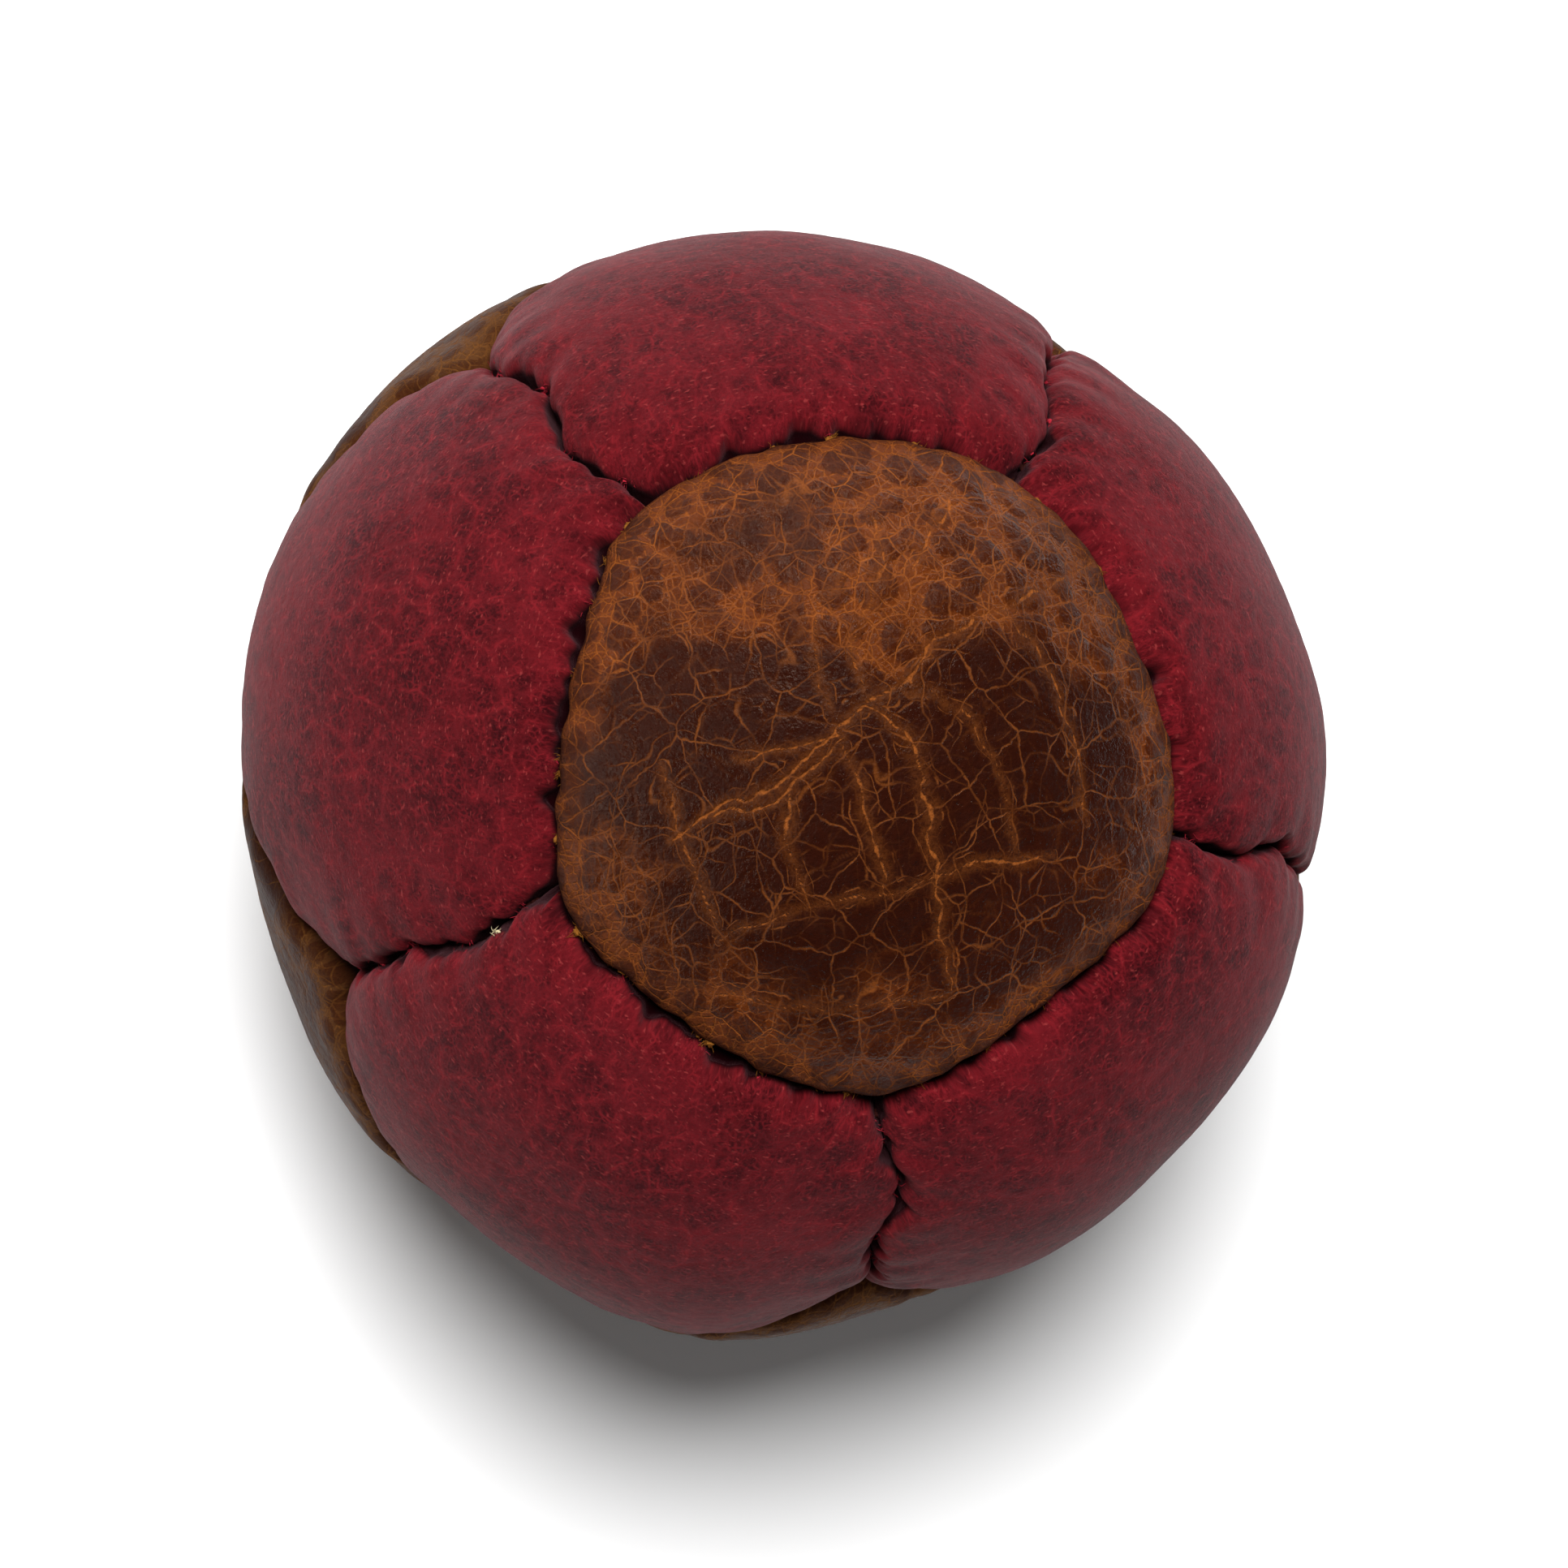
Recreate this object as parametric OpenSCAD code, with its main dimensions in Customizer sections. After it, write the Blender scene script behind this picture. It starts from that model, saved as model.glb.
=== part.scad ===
// Hand-size twelve-panel leather ball: a brown crown panel and five crimson petals
// sewn as one bowl, a crimson base panel and five brown petals as the other, joined
// by a zigzag belt seam over a cotton liner full of seed.
// +Z up, origin on the resting face under the middle of the ball.

/* [Ball] */
// Diameter across two opposite panels
ball_d = 68; // [64:1:76]
// How far each panel's centre of curvature sits out from the ball's centre
crown_shift = 7; // [5:0.5:8]
// Depth of the flat that the ball's own weight presses into the base panel
rest_flat = 0.9; // [0.6:0.1:1.4]

/* [Leather] */
// Thickness of the leather
leather_t = 1.2; // [0.9:0.1:1.4]
// Radius, from the ball's centre, where the turned-in seam allowances end
allowance_r = 28.4; // [27.8:0.1:28.8]
// Gap between two allowances that face each other in a seam
seam_gap = 0.3; // [0.2:0.05:0.5]
// Radius of the rolled edge along each seam
rim_r = 1.1; // [0.8:0.1:1.3]

/* [Stitching] */
// Stitches along one panel edge
stitches = 5; // [3:1:6]
// Thickness of the waxed thread
thread_d = 0.8; // [0.6:0.05:0.9]
// Radius, from the ball's centre, of the line of stitch holes
stitch_r = 29.9; // [29.6:0.1:30.2]
// Diameter of the knot at each end of a seam's thread
knot_d = 1.4; // [1.2:0.1:1.6]

/* [Filling] */
// Thickness of the cotton liner
liner_t = 0.5; // [0.3:0.1:0.8]
// Radius of the liner under the seams
liner_r = 28; // [27.4:0.1:28]
// Distance from the ball's centre to the top of each lobe of the liner
lobe_top = 32.5; // [31.8:0.1:32.5]
// Radius of each lobe of the liner
lobe_r = 14.75; // [14.2:0.05:14.8]

/* [Colours] */
// Leather of the crown panel and of the five petals round the base
brown = [0.30, 0.13, 0.05];
// Leather of the base panel and of the five petals round the crown
crimson = [0.42, 0.06, 0.10];
// Thread of every seam
waxed_thread = [0.08, 0.05, 0.05];
// Cloth of the liner
cotton = [0.85, 0.81, 0.72];
// Seed inside the liner
seed = [0.78, 0.62, 0.34];

/* [Hidden] */
$fn = 96;
R = ball_d / 2;
crown_r = R - crown_shift;
centre_z = R - rest_flat;
half_gap = seam_gap / 2;
tilt = atan(2);            // angle between the axes of two panels that meet
half = tilt / 2;           // angle from a panel's axis to the middle of its edge
half_edge = 20.905;        // half the angle that one panel edge spans
pitch = 2 * half_edge / stitches;
first = -pitch * (stitches - 1) / 2;
big = 80;

// Each panel's axis: [angle from +Z, angle around Z, turn of its edges]
AXES = [
    [0, 0, 0],
    for (k = [0 : 4]) [tilt, 72 * k, 36],
    for (k = [0 : 4]) [180 - tilt, 36 + 72 * k, 0],
    [180, 0, 36]
];
function dir(a) = [sin(a[0]) * cos(a[1]), sin(a[0]) * sin(a[1]), cos(a[0])];
function unit(v) = v / norm(v);

PANELS = [
    "brown_crown_panel",
    "crimson_petal_1", "crimson_petal_2", "crimson_petal_3", "crimson_petal_4", "crimson_petal_5",
    "brown_petal_1", "brown_petal_2", "brown_petal_3", "brown_petal_4", "brown_petal_5",
    "crimson_base_panel"
];
// Each seam's thread and the two panels that it joins
SEAMS = [
    ["crown_seam_thread_1", 0, 1], ["crown_seam_thread_2", 0, 2], ["crown_seam_thread_3", 0, 3],
    ["crown_seam_thread_4", 0, 4], ["crown_seam_thread_5", 0, 5],
    ["crimson_seam_thread_1", 1, 2], ["crimson_seam_thread_2", 2, 3], ["crimson_seam_thread_3", 3, 4],
    ["crimson_seam_thread_4", 4, 5], ["crimson_seam_thread_5", 5, 1],
    ["belt_seam_thread_1", 1, 6], ["belt_seam_thread_2", 2, 6], ["belt_seam_thread_3", 2, 7],
    ["belt_seam_thread_4", 3, 7], ["belt_seam_thread_5", 3, 8], ["belt_seam_thread_6", 4, 8],
    ["belt_seam_thread_7", 4, 9], ["belt_seam_thread_8", 5, 9], ["belt_seam_thread_9", 5, 10],
    ["belt_seam_thread_10", 1, 10],
    ["brown_seam_thread_1", 6, 7], ["brown_seam_thread_2", 7, 8], ["brown_seam_thread_3", 8, 9],
    ["brown_seam_thread_4", 9, 10], ["brown_seam_thread_5", 10, 6],
    ["base_seam_thread_1", 6, 11], ["base_seam_thread_2", 7, 11], ["base_seam_thread_3", 8, 11],
    ["base_seam_thread_4", 9, 11], ["base_seam_thread_5", 10, 11]
];

// Puts its children on edge j of a panel: X across the seam towards the neighbour,
// Y along the seam, Z out from the ball's centre through the middle of the edge.
module on_edge(j, turn) {
    rotate([0, 0, turn + 72 * j]) rotate([0, half, 0]) children();
}

// The five-sided wedge of the ball that belongs to one panel, drawn back by inset
module wedge(inset, turn) {
    intersection() {
        for_edge(0, inset, turn);
        for_edge(1, inset, turn);
        for_edge(2, inset, turn);
        for_edge(3, inset, turn);
        for_edge(4, inset, turn);
    }
}
module for_edge(j, inset, turn) {
    on_edge(j, turn) translate([-big - inset, -big / 2, -big / 2]) cube(big);
}

// Removes the sharp corner where the crown meets the seam, leaving a rolled edge
module rim_cut() {
    sink = 0.9 * rim_r;
    h = crown_shift * sin(half) - half_gap - sink;
    ring = sqrt(pow(crown_r - sink, 2) - h * h);
    translate([-crown_shift * sin(half), 0, crown_shift * cos(half)]) rotate([0, 90, 0])
        translate([0, 0, h]) difference() {
            rotate_extrude() translate([ring, 0]) square([rim_r * 2, rim_r * 2]);
            rotate_extrude() translate([ring, 0]) circle(rim_r, $fn = 48);
        }
}

// The row of needle holes through the turned-in allowance of one edge
module hole_row() {
    for (i = [0 : stitches - 1])
        rotate([first + i * pitch, 0, 0]) translate([-half_gap - leather_t / 2, 0, stitch_r])
            rotate([0, 90, 0]) cylinder(d = thread_d + 0.1, h = leather_t + 0.8, center = true, $fn = 32);
}

// One leather panel in its own frame, with its crown along +Z
module panel_shape(turn, flat) {
    difference() {
        intersection() {
            translate([0, 0, crown_shift]) sphere(crown_r);
            wedge(half_gap, turn);
            if (flat) translate([-big / 2, -big / 2, R - rest_flat - big]) cube(big);
        }
        intersection() {
            translate([0, 0, crown_shift]) sphere(crown_r - leather_t);
            wedge(half_gap + leather_t, turn);
            if (flat) translate([-big / 2, -big / 2, R - rest_flat - leather_t - big]) cube(big);
        }
        sphere(allowance_r);
        for (j = [0 : 4]) on_edge(j, turn) { rim_cut(); hole_row(); }
    }
}

module place(a) {
    translate([0, 0, centre_z]) rotate([0, a[0], a[1]]) children();
}

module panel(k) {
    a = AXES[k];
    place(a) panel_shape(a[2], k == 11);
}
module brown_panel(k) { color(brown) panel(k); }
module crimson_panel(k) { color(crimson) panel(k); }

// The saddle stitch of one seam: bars through both allowances, a run of thread along
// each side and a knot at both ends. Frame: X along the seam, Y across, Z outwards.
module stitch_run(side) {
    off = half_gap + leather_t + thread_d / 2 + 0.03;
    reach = -first + 0.6;
    translate([0, side * off, 0]) rotate([90, 0, 0]) rotate([0, 0, 90 - reach])
        rotate_extrude(angle = 2 * reach) translate([stitch_r, 0]) circle(d = thread_d, $fn = 24);
}
module seam_stitches() {
    off = half_gap + leather_t + thread_d / 2 + 0.03;
    union() {
        stitch_run(1);
        stitch_run(-1);
        for (i = [0 : stitches - 1])
            rotate([0, first + i * pitch, 0]) translate([0, 0, stitch_r]) rotate([90, 0, 0])
                cylinder(d = thread_d - 0.08, h = 2 * off + 0.3, center = true, $fn = 24);
        for (s = [-1, 1])
            rotate([0, s * (-first), 0]) translate([0, s * (off + 0.32), stitch_r]) sphere(d = knot_d, $fn = 32);
    }
}
module seam_thread(s) {
    n = dir(AXES[s[1]]);
    q = dir(AXES[s[2]]);
    z = unit(n + q);
    y = unit(n - q);
    x = cross(y, z);
    color(waxed_thread) translate([0, 0, centre_z])
        multmatrix([[x[0], y[0], z[0], 0], [x[1], y[1], z[1], 0], [x[2], y[2], z[2], 0], [0, 0, 0, 1]])
            seam_stitches();
}

// The stuffed bag: round under the seams, with a lobe up into each panel's crown
module stuffed(inset) {
    intersection() {
        union() {
            translate([0, 0, centre_z]) sphere(liner_r - inset);
            for (a = AXES) place(a) translate([0, 0, lobe_top - lobe_r]) sphere(lobe_r - inset);
        }
        translate([-big / 2, -big / 2, leather_t + 0.2 + inset]) cube(big);
    }
}
module inner_liner() {
    color(cotton) difference() {
        stuffed(0);
        stuffed(liner_t);
    }
}
module seed_filling() {
    color(seed) stuffed(liner_t + 0.05);
}

brown_panel(0);  // brown_crown_panel
for (k = [1 : 5]) crimson_panel(k);
for (k = [6 : 10]) brown_panel(k);
crimson_panel(11);  // crimson_base_panel
for (s = SEAMS) seam_thread(s);
inner_liner();
seed_filling();
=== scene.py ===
import math

import bpy
import numpy as np
from mathutils import Matrix, Vector


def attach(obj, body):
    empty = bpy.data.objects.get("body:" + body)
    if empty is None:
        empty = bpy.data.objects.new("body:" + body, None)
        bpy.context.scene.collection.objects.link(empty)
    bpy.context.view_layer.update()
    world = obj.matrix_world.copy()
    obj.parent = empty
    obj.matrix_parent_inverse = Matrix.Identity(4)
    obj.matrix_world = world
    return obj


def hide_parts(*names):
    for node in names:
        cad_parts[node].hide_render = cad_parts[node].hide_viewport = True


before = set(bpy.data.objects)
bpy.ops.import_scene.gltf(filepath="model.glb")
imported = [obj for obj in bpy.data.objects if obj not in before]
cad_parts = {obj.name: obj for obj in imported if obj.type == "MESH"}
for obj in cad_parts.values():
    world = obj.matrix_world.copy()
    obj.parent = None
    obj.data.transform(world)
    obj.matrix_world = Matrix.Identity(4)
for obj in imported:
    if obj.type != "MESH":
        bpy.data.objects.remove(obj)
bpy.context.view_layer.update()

# ---------------------------------------------------------------------------
# Sizes, in millimetres. The ball's centre is above the origin, which is on the floor.
# ---------------------------------------------------------------------------
BALL_R = 34.0
REST_FLAT = 0.9
CENTRE = np.array([0.0, 0.0, BALL_R - REST_FLAT])
CROWN_SHIFT = 7.0
CROWN_R = BALL_R - CROWN_SHIFT
LEATHER_T = 1.15
ALLOWANCE_R = 28.7       # how far in the turned-in allowances reach
ROLL_R = 0.85            # radius of the rolled edge
STITCHES = 5
MM = 0.001

TILT = math.atan(2.0)
APO = TILT / 2                                   # panel axis to the middle of an edge, as an angle
N_RINGS = {"crown": 120, "brown": 104, "crimson": 108}


def unit(v):
    v = np.asarray(v, float)
    return v / np.linalg.norm(v, axis=-1, keepdims=True)


def direction(polar, azimuth):
    p, a = math.radians(polar), math.radians(azimuth)
    return np.array([math.sin(p) * math.cos(a), math.sin(p) * math.sin(a), math.cos(p)])


def sstep(lo, hi, x):
    t = np.clip((x - lo) / (hi - lo), 0, 1)
    return t * t * (3 - 2 * t)


# The viewing direction
CAM_DIR = unit(np.array([-0.0388, 0.1834, 0.9823]))
CAM_UP = unit(np.array([0.9958, -0.0750, 0.0533]))
CAM_RIGHT = np.cross(CAM_UP, CAM_DIR)


# ---------------------------------------------------------------------------
# Noise, the same on every run
# ---------------------------------------------------------------------------
def hashed(ix, iy, iz, seed):
    """Whole numbers to values from 0 to 1."""
    h = (ix.astype(np.int64) * 73856093) ^ (iy.astype(np.int64) * 19349663) ^ (iz.astype(np.int64) * 83492791)
    h = (h + seed * 1013904223) & 0x7FFFFFFF
    h = ((h ^ (h >> 15)) * 73244475) & 0x7FFFFFFF
    h = ((h ^ (h >> 13)) * 19990303) & 0x7FFFFFFF
    h = (h ^ (h >> 16)) & 0x7FFFFFFF
    return h / 2147483648.0


def noise(p, size, seed=0, octaves=1, rough=0.5):
    """Smooth noise from about -1 to 1 at points p, with bumps about size apart."""
    p = np.asarray(p, float)
    if p.shape[1] == 2:
        p = np.column_stack([p, np.zeros(len(p))])
    total, amp, norm = np.zeros(len(p)), 1.0, 0.0
    for o in range(octaves):
        q = p / size * 2 ** o + 31.7 * o
        i = np.floor(q).astype(np.int64)
        f = q - i
        u = f * f * f * (f * (f * 6 - 15) + 10)
        v = np.zeros(len(p))
        for dx in (0, 1):
            for dy in (0, 1):
                for dz in (0, 1):
                    w = (np.where(dx, u[:, 0], 1 - u[:, 0]) * np.where(dy, u[:, 1], 1 - u[:, 1])
                         * np.where(dz, u[:, 2], 1 - u[:, 2]))
                    v += w * (hashed(i[:, 0] + dx, i[:, 1] + dy, i[:, 2] + dz, seed + 17 * o) * 2 - 1)
        total += amp * v
        norm += amp
        amp *= rough
    return total / norm * 1.6


def cells(p, size, seed, jitter=0.95):
    """2-D cells: distance to the nearest cell border, distance to the cell's middle, and a value per cell."""
    p = np.asarray(p, float)[:, :2] / size
    base = np.floor(p).astype(np.int64)
    sites, ids = [], []
    for dx in range(-2, 3):
        for dy in range(-2, 3):
            ix, iy = base[:, 0] + dx, base[:, 1] + dy
            jx = hashed(ix, iy, ix * 0 + 1, seed) - 0.5
            jy = hashed(ix, iy, ix * 0 + 2, seed) - 0.5
            sites.append(np.column_stack([ix + 0.5 + jitter * jx, iy + 0.5 + jitter * jy]) - p)
            ids.append(hashed(ix, iy, ix * 0 + 3, seed))
    s = np.stack(sites, 1)
    ids = np.stack(ids, 1)
    d2 = (s ** 2).sum(2)
    k = d2.argmin(1)
    rows = np.arange(len(p))
    m = s[rows, k]
    diff = s - m[:, None]
    length = np.sqrt((diff ** 2).sum(2))
    length[rows, k] = 1.0
    edge = (((s + m[:, None]) / 2) * diff).sum(2) / length
    edge[rows, k] = 9.0
    return edge.min(1) * size, np.sqrt(d2[rows, k]) * size, ids[rows, k]


def polyline_distance(p, line):
    """Distance from 2-D points to a polyline, and how far along it that is, from 0 to 1."""
    line = np.asarray(line, float)
    seg = np.linalg.norm(np.diff(line, axis=0), axis=1)
    along = np.concatenate([[0], np.cumsum(seg)]) / seg.sum()
    best, where = np.full(len(p), 1e9), np.zeros(len(p))
    for k in range(len(line) - 1):
        a, b = line[k], line[k + 1]
        d = b - a
        t = np.clip(((p - a) @ d) / (d @ d), 0, 1)
        far = np.linalg.norm(p - a - t[:, None] * d, axis=1)
        near = far < best
        best[near], where[near] = far[near], (along[k] + t * (along[k + 1] - along[k]))[near]
    return best, where


# ---------------------------------------------------------------------------
# The twelve panels, twenty corners and thirty seams
# ---------------------------------------------------------------------------
T = math.degrees(TILT)
AXES = [direction(0, 0)]
AXES += [direction(T, 72 * k) for k in range(5)]
AXES += [direction(180 - T, 36 + 72 * k) for k in range(5)]
AXES += [direction(180, 0)]
AXES = np.array(AXES)
FRAMES = []                 # each panel's own x, y and z
for polar, azimuth in [(0, 0)] + [(T, 72 * k) for k in range(5)] + [(180 - T, 36 + 72 * k) for k in range(5)] + [(180, 0)]:
    p, a = math.radians(polar), math.radians(azimuth)
    ry = np.array([[math.cos(p), 0, math.sin(p)], [0, 1, 0], [-math.sin(p), 0, math.cos(p)]])
    rz = np.array([[math.cos(a), -math.sin(a), 0], [math.sin(a), math.cos(a), 0], [0, 0, 1]])
    FRAMES.append(rz @ ry)  # columns are the panel's x, y and z

CORNERS = [direction(37.377, 36 + 72 * k) for k in range(5)]       # 0-4 round the crown
CORNERS += [direction(79.188, 36 + 72 * k) for k in range(5)]      # 5-9 upper belt
CORNERS += [direction(100.812, 72 * k) for k in range(5)]          # 10-14 lower belt
CORNERS += [direction(142.623, 72 * k) for k in range(5)]          # 15-19 round the base
CORNERS = np.array(CORNERS)
IDEAL = CORNERS.copy()

# How far handwork has moved each corner: [away from the crown, round it anticlockwise], mm
MOVED = {0: (0.0, -0.6), 1: (0.6, -0.2), 2: (1.5, -0.7), 3: (-0.2, -0.2), 4: (-0.2, 0.8),
         5: (-1.2, -0.9), 6: (0.0, 0.4), 7: (0.8, 0.6), 8: (0.0, 0.6), 9: (0.0, 0.6)}
rng = np.random.default_rng(20)
for v in range(20):
    down, round_it = MOVED.get(v, tuple(rng.uniform(-0.8, 0.8, 2)))
    d = IDEAL[v]
    e_round = unit(np.cross([0, 0, 1], d))
    e_down = np.cross(e_round, d)
    CORNERS[v] = unit(d + (e_down * down + e_round * round_it) / (BALL_R * 0.965))

# The sideways wander of the seams that show: (share along the seam from the corner nearer the crown,
# mm anticlockwise), and of the crown's own outline: (share along, mm away from the crown)
WANDER = {
    (0, 5): [(0, -.9), (.07, -.1), (.14, .3), (.21, .9), (.28, 1.0), (.34, .7), (.41, 0), (.46, -.7), (.56, -1.0), (.61, -.7), (.73, -.1), (.9, -.9), (1, -.9)],
    (1, 6): [(0, -.3), (.12, .6), (.23, 1.2), (.3, 1.4), (.36, 1.4), (.44, .8), (.54, .2), (.69, .6), (.84, .7), (1, .4)],
    (2, 7): [(0, -.9), (.1, -.5), (.18, 0), (.25, .9), (.31, 1.2), (.36, 1.2), (.44, .6), (.52, 0), (.61, 0), (.76, .9), (.87, 1.0), (1, .6)],
    (3, 8): [(0, -.2), (.07, 0), (.14, 0), (.21, -.4), (.28, .2), (.35, .5), (.39, 1.0), (.48, 1.4), (.55, 1.0), (.79, .7), (1, .6)],
    (4, 9): [(0, 1.0), (.11, .3), (.15, .1), (.25, 0), (.36, .9), (.48, 1.2), (.7, .9), (1, .6)],
    (4, 0): [(0, -.2), (.15, .8), (.32, 1.4), (.5, 1.8), (.75, 1.3), (.92, .4), (1, -.1)],
    (0, 1): [(0, -.1), (.13, 1.4), (.32, 1.2), (.53, 1.2), (.73, .9), (.9, .6), (1, .5)],
    (1, 2): [(0, .6), (.12, 2.1), (.32, 2.3), (.53, 2.5), (.75, 2.4), (.92, 1.7), (1, 1.4)],
    (2, 3): [(0, 1.4), (.1, 1.5), (.3, 1.5), (.53, 1.3), (.7, 1.4), (.86, 1.2), (1, -.2)],
    (3, 4): [(0, -.2), (.22, .7), (.47, .8), (.75, 1.2), (.9, .2), (1, -.3)],
}

SEAMS = {}
for a in range(20):
    for b in range(a + 1, 20):
        if IDEAL[a] @ IDEAL[b] > 0.7:
            SEAMS[(a, b)] = len(SEAMS)
assert len(SEAMS) == 30
GRID_T = np.linspace(0, 1, 401)
SEAM = []
SEAM_L = BALL_R * 0.965 * math.radians(41.81)
for (a, b), s in sorted(SEAMS.items(), key=lambda x: x[1]):
    r = np.random.default_rng(500 + s)
    key = (a, b) if (a, b) in WANDER else (b, a) if (b, a) in WANDER else None
    if key:
        t, w = np.array(WANDER[key]).T
        curve = np.interp(GRID_T, t, w)
        if key[0] < 5 and key[1] < 5:     # the crown's outline
            n = unit(np.cross(IDEAL[key[0]], IDEAL[key[1]]))
            curve = curve * np.sign(-(n @ AXES[0]))
        if key != (a, b):                 # the table runs from b to a
            curve = -curve[::-1]
        curve = curve - (curve[0] * (1 - GRID_T) + curve[-1] * GRID_T)
        k = np.exp(-0.5 * (np.arange(-24, 25) / 8.0) ** 2)
        curve = np.convolve(np.pad(curve, 24, mode="reflect", reflect_type="odd"), k / k.sum(), "valid")
    else:
        f1, f2, p1, p2 = r.uniform(1.8, 2.6), r.uniform(4.0, 5.2), *r.uniform(0, 6.28, 2)
        curve = (r.uniform(0.55, 0.95) * np.sin(6.283 * f1 * GRID_T + p1)
                 + r.uniform(0.12, 0.3) * np.sin(6.283 * f2 * GRID_T + p2))
        curve *= np.minimum(1, np.minimum(GRID_T, 1 - GRID_T) / 0.14)
    window = np.minimum(1, np.minimum(GRID_T, 1 - GRID_T) / 0.10)
    ph = r.uniform(0, 6.28, 4)
    crown_seam = a < 5 and b < 5
    if crown_seam:
        curve = curve + window * (0.13 * np.sin(6.283 * 6.3 * GRID_T + ph[0]) + 0.07 * np.sin(6.283 * 11.0 * GRID_T + ph[1]))
    else:
        curve = curve + window * (0.15 * np.sin(6.283 * 7.4 * GRID_T + ph[0]) + 0.09 * np.sin(6.283 * 13.0 * GRID_T + ph[1]))
    at = (np.arange(STITCHES) + 0.5) / STITCHES
    at = at + r.uniform(-0.025, 0.025, STITCHES)
    SEAM.append({"a": a, "b": b, "curve": curve, "at": at, "crown": crown_seam, "phase": ph,
                 "open": r.uniform(0.25, 1.0, STITCHES + 1), "side": r.uniform(-1, 1, STITCHES + 1)})


def seam_points(s, t):
    """Directions along seam s at shares t, and the seam's own sideways direction there."""
    q = SEAM[s]
    a, b = CORNERS[q["a"]], CORNERS[q["b"]]
    w = math.acos(float(a @ b))
    t = np.asarray(t, float)
    d = (np.sin((1 - t) * w)[:, None] * a + np.sin(t * w)[:, None] * b) / math.sin(w)
    n = unit(np.cross(a, b))
    off = np.interp(t, GRID_T, q["curve"]) / (BALL_R * 0.965)
    return spread(unit(d + off[:, None] * n)), n


def spread(d):
    """The seams lie lower than the crowns they were placed by, so they stand a little further out."""
    z = np.clip(d @ CAM_DIR, 0, 1)[:, None]
    flat = d - z * CAM_DIR
    return unit(z * CAM_DIR + flat * (1 + 0.042 * z)) if len(d) else d


def stitch_pull(s, t, width=0.85):
    """1 at a stitch and 0 between, from the shares along the seam."""
    q = SEAM[s]
    return sum(np.exp(-0.5 * ((t - c) * SEAM_L / width) ** 2) for c in q["at"])


def opening(s, t, panel_side):
    """Half the gap between the two leathers, mm: shut at each stitch, open between. panel_side is -1 or 1."""
    q = SEAM[s]
    knots = np.concatenate([[0.0], q["at"], [1.0]])
    i = np.clip(np.searchsorted(knots, t, "right") - 1, 0, len(knots) - 2)
    f = (t - knots[i]) / (knots[i + 1] - knots[i])
    ends = (i == 0) | (i == len(knots) - 2)
    arch = np.where(ends, np.where(i == 0, 1 - f, f) ** 0.5, np.sin(np.pi * f)) ** 0.8
    share = 0.5 + 0.5 * panel_side * q["side"][i]
    wide = 0.12 + 0.62 * q["open"][i]
    ragged = 1 + 0.35 * np.sin(6.283 * 9.7 * t + q["phase"][2] + panel_side) + 0.2 * np.sin(6.283 * 17 * t + q["phase"][3] - panel_side)
    if q["crown"]:
        # the crown's edge is a clean curve and the petals' edges are scalloped
        share = np.where(panel_side > 0, 0.10, 1.0)
        ragged = np.where(panel_side > 0, 1.0, ragged)
        return 0.06 + (wide + 0.12) * share * arch * ragged
    return 0.07 + wide * share * arch * ragged


# ---------------------------------------------------------------------------
# How round the whole ball is
# ---------------------------------------------------------------------------
# Slow swells of the outline, as shares of the radius, every 20 degrees clockwise from the right
SWELL = [0.014, 0.027, 0.002, 0.022, 0.021, 0.070, 0.044, 0.036, 0.004, 0.030, 0.056, 0.054, 0.056, 0.031, 0.015, 0.000, -0.012, -0.013]


def roundness(d):
    """Multiplier of the radius in direction d: hand-stuffed, so never quite round."""
    x, y, z = d @ CAM_RIGHT, d @ CAM_UP, d @ CAM_DIR
    turn = (np.degrees(np.arctan2(-y, x)) % 360) / 20
    i = np.floor(turn).astype(int)
    g = turn - i
    table = np.array(SWELL)
    p0, p1, p2, p3 = (table[(i + j) % 18] for j in (-1, 0, 1, 2))
    m = 0.5 * (2 * p1 + (p2 - p0) * g + (2 * p0 - 5 * p1 + 4 * p2 - p3) * g ** 2 + (3 * p1 - p0 - 3 * p2 + p3) * g ** 3)
    rim = sstep(0.35, 1.0, np.sqrt(np.clip(1 - z * z, 0, 1))) * np.where(z > 0, 1.0, np.clip(1 + z * 1.2, 0, 1))
    return 1 + rim * m + 0.0045 * noise(d * BALL_R, 19.0, 5) + 0.0022 * noise(d * BALL_R, 8.5, 6)


def crown_height(cos_theta):
    """Radius of a plain panel crown at an angle from the panel's axis."""
    sin2 = 1 - cos_theta ** 2
    return CROWN_SHIFT * cos_theta + np.sqrt(CROWN_R ** 2 - CROWN_SHIFT ** 2 * sin2)


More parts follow.
